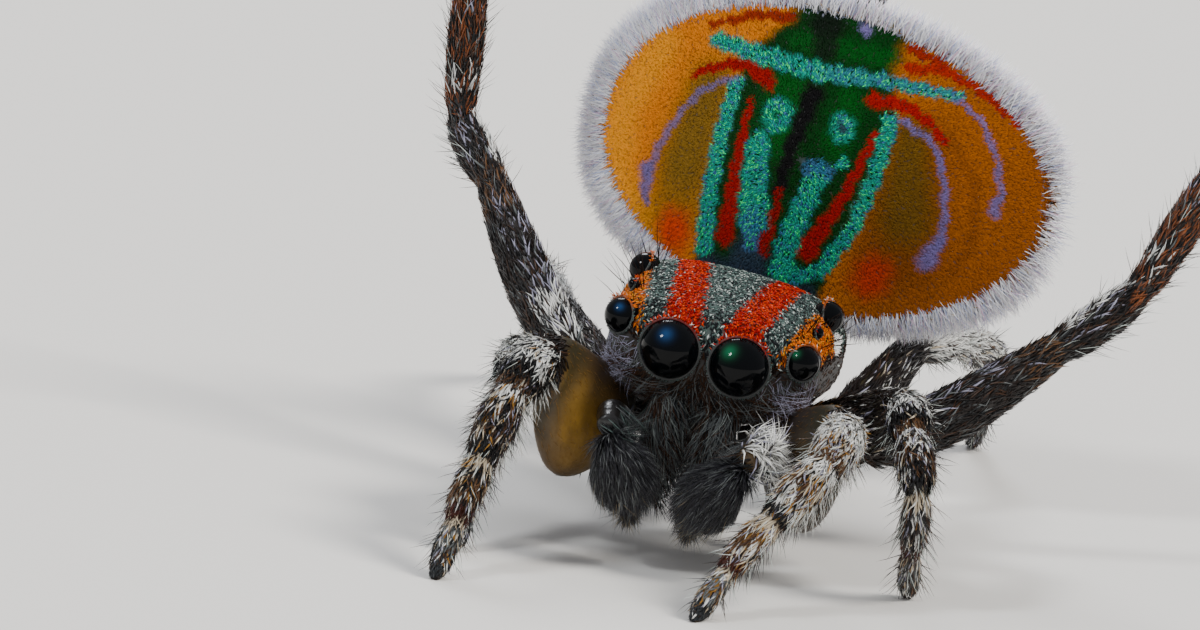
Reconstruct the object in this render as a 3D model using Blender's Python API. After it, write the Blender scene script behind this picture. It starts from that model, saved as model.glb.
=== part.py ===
"""Peacock spider in display: a still, life-size model on its own feet.

Every shape is worked out in millimetres and brought to metres when its object is finished. The
spider faces -Y, +Z is up and its left side is at +X. In the body's own frame the origin is midway
between the two big front eyes.
"""

import math
import random

import bmesh
import bpy
from mathutils import Matrix, Vector
from mathutils.bvhtree import BVHTree

METRES_PER_MM = 0.001
GAP = 0.03  # between two nodes that touch
EYE_GAP = 0.018

# How the body stands
EYE_HEIGHT = 1.45
BODY_ROLL = math.radians(5.6)  # leans to its own left

# Carapace stations: distance behind the face, half width, top, bottom
CARAPACE = (
    (-0.02, 0.44, 0.17, -0.32),
    (0.06, 0.60, 0.25, -0.40),
    (0.20, 0.71, 0.31, -0.47),
    (0.55, 0.77, 0.37, -0.52),
    (1.00, 0.80, 0.42, -0.53),
    (1.35, 0.82, 0.36, -0.53),
    (1.80, 0.76, 0.10, -0.52),
    (2.12, 0.55, -0.15, -0.50),
    (2.30, 0.28, -0.27, -0.46),
)
CARAPACE_CUTS = (-0.02, 0.0, 0.06, 0.15, 0.30, 0.55, 0.90, 1.25, 1.55, 1.82, 2.08, 2.30)
CARAPACE_SIDES = 24
CARAPACE_POWER = 2.9

# Eyes: distance behind the face, height, radius
FRONT_MEDIAN_EYE = (0.0, 0.0, 0.214)
FRONT_MEDIAN_SPREAD = 0.246
FRONT_LATERAL_EYE = (0.17, 0.10, 0.128)
FRONT_LATERAL_SPREAD = 0.643
REAR_MEDIAN_EYE = (0.58, 0.24, 0.042)
REAR_LATERAL_EYE = (1.02, 0.27, 0.115)

# Legs: coxa rows on the sternum, as distance out and distance behind the face
COXA_HEIGHT = -0.64
COXA_ROWS = ((0.30, 0.72), (0.33, 1.01), (0.33, 1.31), (0.29, 1.60))
# Lengths of coxa with trochanter, femur, patella, tibia, metatarsus and tarsus
LEG_LENGTHS = (
    (0.30, 1.06, 0.52, 0.57, 0.50, 0.45),
    (0.30, 0.98, 0.50, 0.52, 0.48, 0.42),
    (0.72, 1.58, 0.70, 1.20, 1.10, 0.70),
    (0.60, 1.15, 0.55, 0.85, 0.80, 0.50),
)
# Widths of coxa, femur, patella, tibia, metatarsus and tarsus, with their short hair
LEG_WIDTHS = (
    (0.25, 0.92, 0.40, 0.35, 0.28, 0.22),
    (0.25, 0.54, 0.38, 0.33, 0.26, 0.21),
    (0.27, 0.44, 0.34, 0.32, 0.26, 0.27),
    (0.25, 0.42, 0.33, 0.30, 0.25, 0.20),
)
FEMUR_FLATNESS = (0.42, 0.60, 0.75, 0.75)
FEMUR_SAG = (0.24, 0.09, 0.07, 0.07)  # how far the belly hangs below the axis
BELLY_SHIFT = 0.75  # below 1, the femur is deepest nearer the coxa
LEG_SIDES = 8
LEG_NODES = (("femur", 0, 2), ("tibia", 2, 4), ("foot", 4, 6))
RING_PLACES = (0.0, 0.26, 0.62)  # along each segment
CORNER = 0.24  # a joint's bend takes this much of each segment
FOOT_SINK = 0.05  # how deep the foot's round tip would go below the floor before its flat is cut

# Poses: azimuth from +X and elevation in degrees, of the same six lengths of each leg
LEG_POSES = {
    "leg_1_left": ((-49, 6), (-49, 20), (-96, -18), (-131, -41), (-128, -41), (-112, -41)),
    "leg_1_right": ((-125, 6), (-125, 28), (-105, -23), (-104, -48), (-102, -49), (-99, -50)),
    "leg_2_left": ((-22, 6), (-22, 25), (-76, -14), (-70, -36), (-86, -108), (-89, -122)),
    "leg_2_right": ((170, -30), (-147, 31), (-87, -21), (-98, -38), (-93, -40), (-98, -57)),
    "leg_3_left": ((6, -10), (14, 34), (28, 38), (30, 62), (44, 74), (90, 78)),
    "leg_3_right": ((170, 8), (138, 41), (126, 26), (118, 82), (70, 84), (40, 76)),
    "leg_4_left": ((36, -9), (67, 24), (65, -2), (73, -15), (100, -41), (105, -48)),
    "leg_4_right": ((150, -6), (122, 12), (114, 9), (103, -2), (90, -42), (78, -60)),
}
RAISED_LEGS = ("leg_3_left", "leg_3_right")

# Locks of a leg node: how many, their length, width and thickness
LEG_LOCKS = {"femur": (4, 0.32, 0.15, 0.05), "tibia": (7, 0.32, 0.14, 0.05), "foot": (5, 0.27, 0.11, 0.045)}
SMOOTH_LEG_SHARE = 0.5  # the dark third legs have this share of them

# Pedipalps
PALP_ARM = ((0.26, 0.44, -0.64), (0.395, 0.19, -0.64), (0.51, -0.15, -0.51), (0.49, -0.37, -0.55))
PALP_ARM_WIDTHS = (0.12, 0.13, 0.235, 0.22)
PALP_TIP = ((0.47, -0.40, -0.65), (0.40, -0.46, -0.77), (0.33, -0.48, -0.91), (0.28, -0.46, -1.02))
PALP_TIP_WIDTHS = (0.22, 0.37, 0.37, 0.19)
PALP_LOCKS = (16, 0.24, 0.17, 0.055)
BEARD_LOCKS = (9, 0.25, 0.17, 0.05)

# Abdomen, raised upright behind the carapace, in its own frame: +Z from pedicel to spinnerets
PEDICEL_START = Vector((0.0, 2.24, -0.38))
ABDOMEN_BASE = Vector((0.14, 3.02, -0.34))
ABDOMEN_LEAN = math.radians(8)
ABDOMEN_TURN = math.radians(-10)  # faces a little to its own right
ABDOMEN_LENGTH = 2.45
ABDOMEN_HALF_WIDTH = 0.74
ABDOMEN_HALF_DEPTH = 0.50
FAN_HALF_WIDTH = 1.70
FAN_HALF_HEIGHT = 1.06
FAN_CENTRE_HEIGHT = 1.24
FAN_POWER = 2.25  # of the outline, which is a little squarer than an ellipse
FAN_FRONT = -0.52  # front of the fan's middle, ahead of the abdomen's axis
FAN_CURL = 0.50  # how far the flap's outer edge lies behind its middle
FAN_RISE_CURL = 0.06
FAN_ROOT_THICKNESS = 0.34
FAN_RIM_THICKNESS = 0.13
FAN_SPLIT = 0.46  # half width of the middle plate, which belongs to the abdomen
FAN_RINGS = 4
FAN_SPOKES = 36
FRINGE_SPACING = 0.15
FRINGE_SIZE = (0.20, 0.06)  # width and thickness of a lock
FRINGE_ROOT = 0.10
FRINGE_REACH = (0.14, 0.18, 0.21)  # beyond the rim: below, above and at the sides

UP = Vector((0, 0, 1))
rng = random.Random(7)


def clear_scene():
    for obj in list(bpy.data.objects):
        bpy.data.objects.remove(obj, do_unlink=True)


def material(name, colour, roughness, metallic=0.0):
    made = bpy.data.materials.new(name)
    made.use_nodes = True
    shader = made.node_tree.nodes["Principled BSDF"]
    shader.inputs["Base Color"].default_value = (*colour, 1.0)
    shader.inputs["Roughness"].default_value = roughness
    shader.inputs["Metallic"].default_value = metallic
    made.diffuse_color = (*colour, 1.0)
    return made


def make_object(name, bm):
    mesh = bpy.data.meshes.new(name)
    bm.normal_update()
    bm.to_mesh(mesh)
    bm.free()
    obj = bpy.data.objects.new(name, mesh)
    bpy.context.scene.collection.objects.link(obj)
    return obj


def make_copy(obj):
    copy = obj.copy()
    copy.data = obj.data.copy()
    bpy.context.scene.collection.objects.link(copy)
    return copy


def curve_through(rows):
    """Smooth curve through rows of (station, value, value...): returns a function of the station."""
    stations = [row[0] for row in rows]
    values = [Vector(row[1:]) for row in rows]
    last = len(rows) - 1

    def slope(i):
        a, b = max(i - 1, 0), min(i + 1, last)
        return (values[b] - values[a]) / (stations[b] - stations[a])

    def at(station):
        i = 0
        while i < last - 1 and station > stations[i + 1]:
            i += 1
        span = stations[i + 1] - stations[i]
        t = min(max((station - stations[i]) / span, 0.0), 1.0)
        a, b, c, d = 2 * t**3 - 3 * t**2 + 1, t**3 - 2 * t**2 + t, 3 * t**2 - 2 * t**3, t**3 - t**2
        return values[i] * a + slope(i) * span * b + values[i + 1] * c + slope(i + 1) * span * d

    return at


def loft(name, rings):
    """Closed body through rings of equal count, each end capped by one face cut into triangles."""
    bm = bmesh.new()
    loops = [[bm.verts.new(point) for point in ring] for ring in rings]
    count = len(loops[0])
    for lower, upper in zip(loops, loops[1:]):
        for i in range(count):
            j = (i + 1) % count
            bm.faces.new((lower[i], lower[j], upper[j], upper[i]))
    bm.faces.new(loops[0][::-1])
    bm.faces.new(loops[-1])
    bmesh.ops.recalc_face_normals(bm, faces=bm.faces)
    bmesh.ops.triangulate(bm, faces=bm.faces)
    return make_object(name, bm)


def power_ring(half_width, half_height, power, sides):
    """Points of a superellipse in the plane, from +X round to +Y."""
    points = []
    for k in range(sides):
        angle = math.tau * k / sides
        c, s = math.cos(angle), math.sin(angle)
        x = math.copysign(abs(c) ** (2 / power), c) * half_width
        y = math.copysign(abs(s) ** (2 / power), s) * half_height
        points.append((x, y))
    return points


def ball(name, centre, radius, subdivisions):
    bm = bmesh.new()
    bmesh.ops.create_icosphere(bm, subdivisions=subdivisions, radius=radius)
    bmesh.ops.translate(bm, verts=bm.verts, vec=centre)
    return make_object(name, bm)


class Section:
    """One ring of a tube: its centre, its directions and its two half widths."""

    def __init__(self, centre, tangent, side, radius, flatness):
        self.centre = centre
        self.tangent = tangent
        self.side = side
        self.rise = tangent.cross(side)
        self.radius = radius
        self.flatness = flatness

    def out(self, angle):
        """From the centre to the surface, at an angle from the side direction."""
        flat = self.side * math.cos(angle) * self.flatness
        return (flat + self.rise * math.sin(angle)) * self.radius

    def ring(self, sides):
        return [self.centre + self.out(math.tau * k / sides) for k in range(sides)]


def tube_sections(points, radii, flatness, side):
    """Sections along a path, carried from one to the next without twist."""
    sections = []
    side = Vector(side)
    for i, (point, radius) in enumerate(zip(points, radii)):
        ahead, behind = points[min(i + 1, len(points) - 1)], points[max(i - 1, 0)]
        tangent = (ahead - behind).normalized()
        side = (side - tangent * side.dot(tangent)).normalized()
        sections.append(Section(point, tangent, side, radius, flatness))
    return sections


def tube(name, points, radii, flatness, side, sides):
    return loft(name, [section.ring(sides) for section in tube_sections(points, radii, flatness, side)])


def smooth_points(points, widths, count):
    """More points along a smooth curve through a few, with half the widths between."""
    rows = [(i, *point, width) for i, (point, width) in enumerate(zip(points, widths))]
    at = curve_through(rows)
    found = [at((len(rows) - 1) * k / (count - 1)) for k in range(count)]
    return [Vector(row[:3]) for row in found], [row[3] / 2 for row in found]


def mirrored(points, sign):
    return [Vector((sign * x, y, z)) for x, y, z in points]


def apply_boolean(obj, pieces, operation):
    """Joins the pieces to obj, or takes them from it, and removes them."""
    operands = bpy.data.collections.new("operands")
    for piece in pieces:
        for held in list(piece.users_collection):
            held.objects.unlink(piece)
        operands.objects.link(piece)
    bpy.context.scene.collection.children.link(operands)
    modifier = obj.modifiers.new("join", "BOOLEAN")
    modifier.operation = operation
    modifier.solver = "MANIFOLD"
    modifier.operand_type = "COLLECTION"
    modifier.collection = operands
    graph = bpy.context.evaluated_depsgraph_get()
    graph.update()
    mesh = bpy.data.meshes.new_from_object(obj.evaluated_get(graph))
    obj.modifiers.clear()
    obj.data = mesh
    for piece in pieces:
        bpy.data.objects.remove(piece, do_unlink=True)
    bpy.data.collections.remove(operands)
    return obj


def grown(obj, by):
    """A copy of a smooth closed object whose surface lies further out."""
    bm = bmesh.new()
    bm.from_mesh(obj.data)
    bm.normal_update()
    moved = [(vert, vert.co + vert.normal * by) for vert in bm.verts]
    for vert, place in moved:
        vert.co = place
    return make_object("grown", bm)


def welded(mesh, reach):
    """The mesh's geometry with points nearer than reach made one."""
    bm = bmesh.new()
    bm.from_mesh(mesh)
    bmesh.ops.remove_doubles(bm, verts=bm.verts, dist=reach)
    bmesh.ops.dissolve_degenerate(bm, edges=bm.edges, dist=reach / 3)
    bmesh.ops.triangulate(bm, faces=bm.faces)
    return bm


def keep_largest(obj):
    """Welds the slivers a union leaves and drops every closed surface but the largest."""
    for reach in (0.0015, 0.001, 0.0006, 0.0003, 0.0001):
        bm = welded(obj.data, reach)
        if all(edge.is_manifold for edge in bm.edges):
            break
        bm.free()
    else:
        bm = welded(obj.data, 0.00002)
    left = set(bm.verts)
    shells = []
    while left:
        seed = left.pop()
        shell, queue = {seed}, [seed]
        while queue:
            for edge in queue.pop().link_edges:
                for vert in edge.verts:
                    if vert in left:
                        left.remove(vert)
                        shell.add(vert)
                        queue.append(vert)
        faces = {face for vert in shell for face in vert.link_faces}
        shells.append((sum(face.calc_area() for face in faces), shell))
    shells.sort(key=lambda item: item[0])
    for _, shell in shells[:-1]:
        bmesh.ops.delete(bm, geom=list(shell), context="VERTS")
    bm.to_mesh(obj.data)
    bm.free()
    return obj


def cut(obj, point, normal):
    """Keeps the part of obj behind the plane and closes it with a flat face."""
    bm = bmesh.new()
    bm.from_mesh(obj.data)
    geometry = bm.verts[:] + bm.edges[:] + bm.faces[:]
    done = bmesh.ops.bisect_plane(
        bm, geom=geometry, dist=1e-6, plane_co=point, plane_no=normal, clear_outer=True
    )
    rim = [item for item in done["geom_cut"] if isinstance(item, bmesh.types.BMEdge)]
    bmesh.ops.holes_fill(bm, edges=rim)
    bmesh.ops.triangulate(bm, faces=bm.faces)
    bmesh.ops.recalc_face_normals(bm, faces=bm.faces)
    bm.to_mesh(obj.data)
    bm.free()
    return obj


def body_to_floor():
    """Carries the body's frame to the floor's frame, in millimetres."""
    return Matrix.Translation(Vector((0, 0, EYE_HEIGHT))) @ Matrix.Rotation(BODY_ROLL, 4, "Y")


def abdomen_to_body():
    lean = Matrix.Rotation(-ABDOMEN_LEAN, 4, "X") @ Matrix.Rotation(ABDOMEN_TURN, 4, "Z")
    return Matrix.Translation(ABDOMEN_BASE) @ lean


# Locks of hair


class Lock:
    """Flat tapered lock of hair: it leaves its root along one direction and bends along the lie."""

    def __init__(self, root, direction, lie, length, width, thickness):
        self.root = root
        self.direction = direction.normalized()
        self.lie = lie.normalized()
        self.size = Vector((length, width, thickness))

    def placed(self, frame):
        turn = frame.to_3x3()
        return Lock(frame @ self.root, turn @ self.direction, turn @ self.lie, *self.size)

    def build(self, share, margin):
        """The lock as an object, shortened to a share of its length and thicker by a margin."""
        length, width, thickness = self.size
        length *= share
        across = self.direction.cross(self.lie).normalized()
        face = across.cross(self.direction)
        bend = self.lie * length * 0.22
        bm = bmesh.new()
        loops = []
        for t, taper in ((0.0, 0.85), (0.55, 1.0)):
            centre = self.root + self.direction * length * t + bend * t * t
            half_width = width * taper / 2 + margin
            half_thickness = thickness * taper / 2 + margin
            a, b = across * half_width, face * half_thickness
            loops.append([bm.verts.new(centre + corner) for corner in (a, b, -a, -b)])
        tip = bm.verts.new(self.root + self.direction * (length + margin) + bend)
        for lower, upper in zip(loops, loops[1:]):
            for i in range(4):
                j = (i + 1) % 4
                bm.faces.new((lower[i], lower[j], upper[j], upper[i]))
        for i in range(4):
            bm.faces.new((loops[-1][i], loops[-1][(i + 1) % 4], tip))
        bm.faces.new(loops[0][::-1])
        bmesh.ops.recalc_face_normals(bm, faces=bm.faces)
        bmesh.ops.triangulate(bm, faces=bm.faces)
        return make_object("lock", bm)


def surface_tree(obj):
    """Search tree of a shape's surface, with its bounds."""
    bm = bmesh.new()
    bm.from_mesh(obj.data)
    corners = [vert.co.copy() for vert in bm.verts]
    tree = BVHTree.FromBMesh(bm)
    bm.free()
    low = Vector([min(corner[i] for corner in corners) for i in range(3)])
    high = Vector([max(corner[i] for corner in corners) for i in range(3)])
    return tree, low, high


def touches(one, other):
    apart = any(one[1][i] > other[2][i] or other[1][i] > one[2][i] for i in range(3))
    return not apart and bool(one[0].overlap(other[0]))


def grow_locks(name, locks, nodes, trees):
    """Fuses locks to a node, each shortened or left out where it would come near another node."""
    kept = []
    for lock in locks:
        for share in (1.0, 0.8, 0.62, 0.5):
            probe = lock.build(share, GAP * 1.15)
            tree = surface_tree(probe)
            bpy.data.objects.remove(probe, do_unlink=True)
            near = any(touches(tree, found) for owner, found in trees if owner != name)
            if tree[1].z > 0.0 and not near:
                piece = lock.build(share, 0.0)
                trees.append((name, surface_tree(piece)))
                kept.append(piece)
                break
    if kept:
        apply_boolean(nodes[name], kept, "UNION")


def around(sections, count, size, angles, tilt, spread):
    """Locks spread over a tube's sections, from first to last, lying along it and tilted outwards."""
    length, width, thickness = size
    locks = []
    for k in range(count):
        place = (k + 0.5) / count * (len(sections) - 1)
        section = sections[int(place)]
        following = sections[min(int(place) + 1, len(sections) - 1)]
        centre = section.centre.lerp(following.centre, place - int(place))
        low, high = angles
        angle = math.radians(low + (high - low) * ((k * 0.382) % 1.0) + rng.uniform(-spread, spread))
        out = section.out(angle)
        root = centre + out * 0.78
        direction = section.tangent + out.normalized() * (tilt + rng.uniform(-0.08, 0.08))
        reach, breadth = length * rng.uniform(0.85, 1.15), width * rng.uniform(0.9, 1.15)
        locks.append(Lock(root, direction, section.tangent, reach, breadth, thickness))
    return locks


# Carapace, eyes and mouth


def carapace_shape():
    """Domed shield, boxy at the eyes and sloping down behind, lofted along the body."""
    at = curve_through(CARAPACE)
    rings = []
    for station in CARAPACE_CUTS:
        half_width, top, bottom = at(station)
        middle, half_height = (top + bottom) / 2, (top - bottom) / 2
        ring = power_ring(half_width, half_height, CARAPACE_POWER, CARAPACE_SIDES)
        rings.append([Vector((x, station, middle + z)) for x, z in ring])
    return loft("carapace", rings)


def carapace_side(behind, height):
    """Half width of the carapace at a distance behind the face and a height."""
    half_width, top, bottom = curve_through(CARAPACE)(behind)
    share = abs(height - (top + bottom) / 2) / ((top - bottom) / 2)
    return half_width * max(0.0, 1 - share**CARAPACE_POWER) ** (1 / CARAPACE_POWER)


def eye_places():
    """Name, centre, radius and fineness of each of the eight eyes, in the body's frame."""
    places = []
    for side, sign in (("left", 1), ("right", -1)):
        behind, height, radius = FRONT_MEDIAN_EYE
        out = FRONT_MEDIAN_SPREAD
        places.append((f"eye_front_median_{side}", (sign * out, behind, height), radius, 3))
        behind, height, radius = FRONT_LATERAL_EYE
        out = FRONT_LATERAL_SPREAD
        places.append((f"eye_front_lateral_{side}", (sign * out, behind, height), radius, 2))
        behind, height, radius = REAR_MEDIAN_EYE
        out = carapace_side(behind, height)
        places.append((f"eye_rear_median_{side}", (sign * out, behind, height), radius, 2))
        behind, height, radius = REAR_LATERAL_EYE
        out = carapace_side(behind, height) - 0.3 * radius
        places.append((f"eye_rear_lateral_{side}", (sign * out, behind, height), radius, 2))
    return places


def beard():
    """Grey hair that hangs from below the front eyes over the jaws."""
    count, length, width, thickness = BEARD_LOCKS
    locks = []
    for k in range(count):
        share = k / (count - 1) * 2 - 1
        root = Vector((share * 0.48, 0.03 + 0.07 * share**2, -0.25 - 0.04 * (k % 2)))
        direction = Vector((share * 0.35, -0.62, -0.80 + 0.1 * (k % 2)))
        reach = length * rng.uniform(0.9, 1.1)
        locks.append(Lock(root, direction, Vector((0, 0.1, -1)), reach, width, thickness))
    return locks


def sternum_shape():
    """Flat shield under the body, between the coxae."""
    rings = []
    for height, share in ((-0.562, 0.96), (-0.62, 1.0), (-0.72, 1.0), (-0.78, 0.8)):
        ring = power_ring(0.235 * share, 0.62 * share, 2.4, 16)
        rings.append([Vector((x, 1.16 + y, height)) for x, y in ring])
    return loft("sternum", rings)


def mouthparts_shape():
    """Two lobed maxillae with the labium between them, ahead of the sternum."""
    core = ball("labium", Vector((0, 0.43, -0.68)), 0.085, 2)
    lobes = []
    for sign in (1, -1):
        points = mirrored(((0.10, 0.50, -0.60), (0.10, 0.43, -0.68), (0.09, 0.35, -0.74)), sign)
        lobes.append(tube("maxilla", points, (0.05, 0.075, 0.05), 1.0, (1, 0, 0), 8))
    return apply_boolean(core, lobes, "UNION")


def chelicera_shape(sign):
    """Upright jaw below the face, with its fang folded under the tip."""
    places = ((0.16, -0.34), (0.13, -0.52), (0.10, -0.72), (0.08, -0.90), (0.08, -0.98))
    points = [Vector((sign * 0.18, y, z)) for y, z in places]
    jaw = tube("jaw", points, (0.14, 0.155, 0.15, 0.12, 0.07), 0.95, (1, 0, 0), 12)
    points = mirrored(((0.15, 0.09, -0.92), (0.11, 0.14, -0.99), (0.08, 0.20, -1.0)), sign)
    fang = tube("fang", points, (0.045, 0.03, 0.006), 1.0, (1, 0, 0), 6)
    return apply_boolean(jaw, [fang], "UNION")


# Legs


def leg_joints(name, pitch):
    """Joint points of a leg in the floor's frame, with pitch degrees added beyond the knee."""
    number = int(name.split("_")[1]) - 1
    sign = 1 if name.endswith("left") else -1
    out, behind = COXA_ROWS[number]
    joints = [body_to_floor() @ Vector((sign * out, behind, COXA_HEIGHT))]
    for i, (length, (azimuth, elevation)) in enumerate(zip(LEG_LENGTHS[number], LEG_POSES[name])):
        a, e = math.radians(azimuth), math.radians(elevation + (pitch if i > 1 else 0.0))
        step = Vector((math.cos(a) * math.cos(e), math.sin(a) * math.cos(e), math.sin(e)))
        joints.append(joints[-1] + step * length)
    return joints


def standing_pitch(name):
    """Pitch that brings the foot's tip just under the floor, found by halving."""
    low, high = -30.0, 30.0
    number = int(name.split("_")[1]) - 1
    tip_radius = LEG_WIDTHS[number][-1] * 0.3
    for _ in range(40):
        middle = (low + high) / 2
        if leg_joints(name, middle)[-1].z - tip_radius > -FOOT_SINK:
            high = middle
        else:
            low = middle
    return (low + high) / 2


def leg_path(joints):
    """Point of the leg at u, which is a whole number at each joint, with its bends rounded."""
    lengths = [(b - a).length for a, b in zip(joints, joints[1:])]

    def corner(joint, v):
        here = joints[joint]
        before = here + (joints[joint - 1] - here).normalized() * min(CORNER, 0.45 * lengths[joint - 1])
        after = here + (joints[joint + 1] - here).normalized() * min(CORNER, 0.45 * lengths[joint])
        return before * (1 - v) ** 2 + here * 2 * v * (1 - v) + after * v * v

    def at(u):
        i = min(int(u), len(lengths) - 1)
        t = u - i
        share = min(CORNER / lengths[i], 0.45)
        if i > 0 and t < share:
            return corner(i, 0.5 + 0.5 * t / share)
        if i < len(lengths) - 1 and t > 1 - share:
            return corner(i + 1, 0.5 * (t - 1 + share) / share)
        return joints[i].lerp(joints[i + 1], t)

    return at


def leg_radius(number, u):
    """Half the leg's width at u: each segment swells in the middle and narrows at its joints."""
    i = min(int(u), 5)
    t = u - i
    widths = LEG_WIDTHS[number]
    here = widths[i]
    waist_before = min(here, widths[max(i - 1, 0)]) * 0.80
    waist_after = min(here, widths[min(i + 1, 5)]) * 0.80
    if i == 5:
        waist_after = here * 0.62
    base = waist_before + (waist_after - waist_before) * t
    deepest = BELLY_SHIFT if i == 1 else 1.0
    swell = math.sin(math.pi * min(max(t, 0.0), 1.0) ** deepest) ** 0.75
    return (base + (here - base) * swell) / 2


def leg_nodes(name):
    """Each node of a leg as its sections and its rings, which don't fold inside a bend."""
    number = int(name.split("_")[1]) - 1
    joints = leg_joints(name, 0.0 if name in RAISED_LEGS else standing_pitch(name))
    at = leg_path(joints)
    side = UP.cross(joints[2] - joints[1])
    for part, start, end in LEG_NODES:
        flatness = FEMUR_FLATNESS[number] if part == "femur" else 0.9
        sections, rings = [], []
        for u in [i + t for i in range(start, end) for t in RING_PLACES] + [end]:
            before, here, after = at(max(u - 0.04, 0)), at(u), at(min(u + 0.04, 6))
            tangent = (after - before).normalized()
            side = (side - tangent * side.dot(tangent)).normalized()
            bend = (after - here).normalized() - (here - before).normalized()
            inside = bend.normalized() if bend.length > 1e-4 else side
            reach = 0.85 * (after - before).length / 2 / max(bend.length, 1e-4)
            end_gap = tangent * GAP / 2 * ((u == start and u > 0) - (u == end and u < 6))
            sag = FEMUR_SAG[number] * math.sin(math.pi * (u - 1) ** BELLY_SHIFT) if 1 < u < 2 else 0.0
            centre = here + end_gap - tangent.cross(side) * sag
            section = Section(centre, tangent, side, leg_radius(number, u), flatness)
            outs = [section.out(math.tau * k / LEG_SIDES) for k in range(LEG_SIDES)]
            rings.append([centre + out - inside * max(0.0, out.dot(inside) - reach) for out in outs])
            sections.append(section)
        yield part, sections, rings


def leg_locks(leg, part, sections):
    """Coarse locks of a leg node's hair, along its back and sides, clear of its ends."""
    count, *size = LEG_LOCKS[part]
    if leg in RAISED_LEGS:
        count = round(count * SMOOTH_LEG_SHARE)
    chosen = sections[3:6] if part == "femur" else sections[1:6]
    return around(chosen, count, size, (-25, 205), 0.30, 12)


# Abdomen and fan, in the abdomen's frame


def abdomen_core():
    """Plump upright abdomen, narrow at the pedicel and at the spinnerets."""
    rings = []
    steps = 11
    for k in range(steps + 1):
        t = 0.02 + 0.96 * k / steps
        share = math.sin(math.pi * t**0.9) ** 0.55
        ring = power_ring(ABDOMEN_HALF_WIDTH * share, ABDOMEN_HALF_DEPTH * share, 2.2, 18)
        lift = ABDOMEN_LENGTH * t
        rings.append([Vector((x, y + 0.04, lift)) for x, y in ring])
    return loft("abdomen", rings)


def fan_outline(angle, share):
    """Point of the fan's plane at an angle and a share of the way to its rim."""
    c, s = math.cos(angle), math.sin(angle)
    reach = share * (abs(c) ** FAN_POWER + abs(s) ** FAN_POWER) ** (-1 / FAN_POWER)
    return FAN_HALF_WIDTH * c * reach, FAN_CENTRE_HEIGHT + FAN_HALF_HEIGHT * s * reach


def fan_front(x, height):
    """How far back the fan's front face lies at a point of its plane."""
    rise = (height - FAN_CENTRE_HEIGHT) / FAN_HALF_HEIGHT
    return FAN_FRONT + FAN_CURL * (x / FAN_HALF_WIDTH) ** 2 + FAN_RISE_CURL * rise**2


def fan_thickness(share):
    return FAN_RIM_THICKNESS + (FAN_ROOT_THICKNESS - FAN_RIM_THICKNESS) * (1 - share**2)


def fan_ring(share, depth):
    """Ring of the fan at a share of the way to its rim and of the way through its thickness."""
    ring = []
    for k in range(FAN_SPOKES):
        x, height = fan_outline(math.tau * k / FAN_SPOKES, share)
        ring.append(Vector((x, fan_front(x, height) + fan_thickness(min(share, 1)) * depth, height)))
    return ring


def fan_plate():
    """The whole fan as one thin curved plate, thick at the middle and thin at the rim."""
    shares = [0.04] + [k / FAN_RINGS for k in range(1, FAN_RINGS + 1)]
    rings = [fan_ring(share, 0.0) for share in shares]
    rings.append(fan_ring(1.03, 0.5))
    rings += [fan_ring(share, 1.0) for share in reversed(shares)]
    return loft("fan", rings)


def fringe(low, high):
    """Locks round the fan's rim where it lies between two distances out from the middle."""
    locks = []
    width, thickness = FRINGE_SIZE
    below, above, beside = FRINGE_REACH
    steps = 720
    walked = 0.0
    place = Vector(fan_outline(0.0, 1.0))
    for k in range(1, steps + 1):
        angle = math.tau * k / steps
        following = Vector(fan_outline(angle, 1.0))
        along = following - place
        walked += along.length
        place = following
        if walked < FRINGE_SPACING:
            continue
        walked -= FRINGE_SPACING
        x, height = place
        if not low < x < high:
            continue
        along.normalize()
        outward = Vector((along.y, -along.x))
        slope = 2 * FAN_CURL * x / FAN_HALF_WIDTH**2
        sway = rng.uniform(-0.14, 0.14)
        direction = Vector((outward.x + along.x * sway, slope * outward.x, outward.y + along.y * sway))
        back = Vector((-slope, 1.0, 0.0)).normalized() * (1 if len(locks) % 2 else -1)
        root = Vector((x, fan_front(x, height) + FAN_RIM_THICKNESS / 2, height))
        root += back * 0.018 - direction.normalized() * FRINGE_ROOT
        reach = beside + ((above if outward.y > 0 else below) - beside) * outward.y**2
        length = (FRINGE_ROOT + reach) * rng.uniform(0.9, 1.12)
        locks.append(Lock(root, direction, back, length, width * rng.uniform(0.9, 1.1), thickness))
    return locks


def spinnerets_shape():
    """Short cluster of spinning tubes at the top of the raised abdomen."""
    top = ABDOMEN_LENGTH * 0.99
    points = [Vector((0, 0.06, top + z)) for z in (-0.10, 0.02, 0.12)]
    core = tube("spinnerets", points, (0.15, 0.16, 0.10), 1.0, (1, 0, 0), 8)
    cones = []
    for x, y in ((0.09, -0.07), (-0.09, -0.07), (0.08, 0.07), (-0.08, 0.07)):
        points = [Vector((x * s, 0.06 + y * s, top + z)) for s, z in ((1, 0.0), (1.2, 0.14), (1.3, 0.26))]
        cones.append(tube("cone", points, (0.06, 0.055, 0.03), 1.0, (1, 0, 0), 6))
    return apply_boolean(core, cones, "UNION")


def pedicel_shape():
    """Narrow waist between the carapace and the abdomen."""
    abdomen_side = ABDOMEN_BASE + Vector((-0.02, 0.0, 0.14))
    points = [PEDICEL_START, PEDICEL_START.lerp(abdomen_side, 0.5), abdomen_side]
    return tube("pedicel", points, (0.13, 0.10, 0.13), 1.0, (1, 0, 0), 10)


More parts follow.
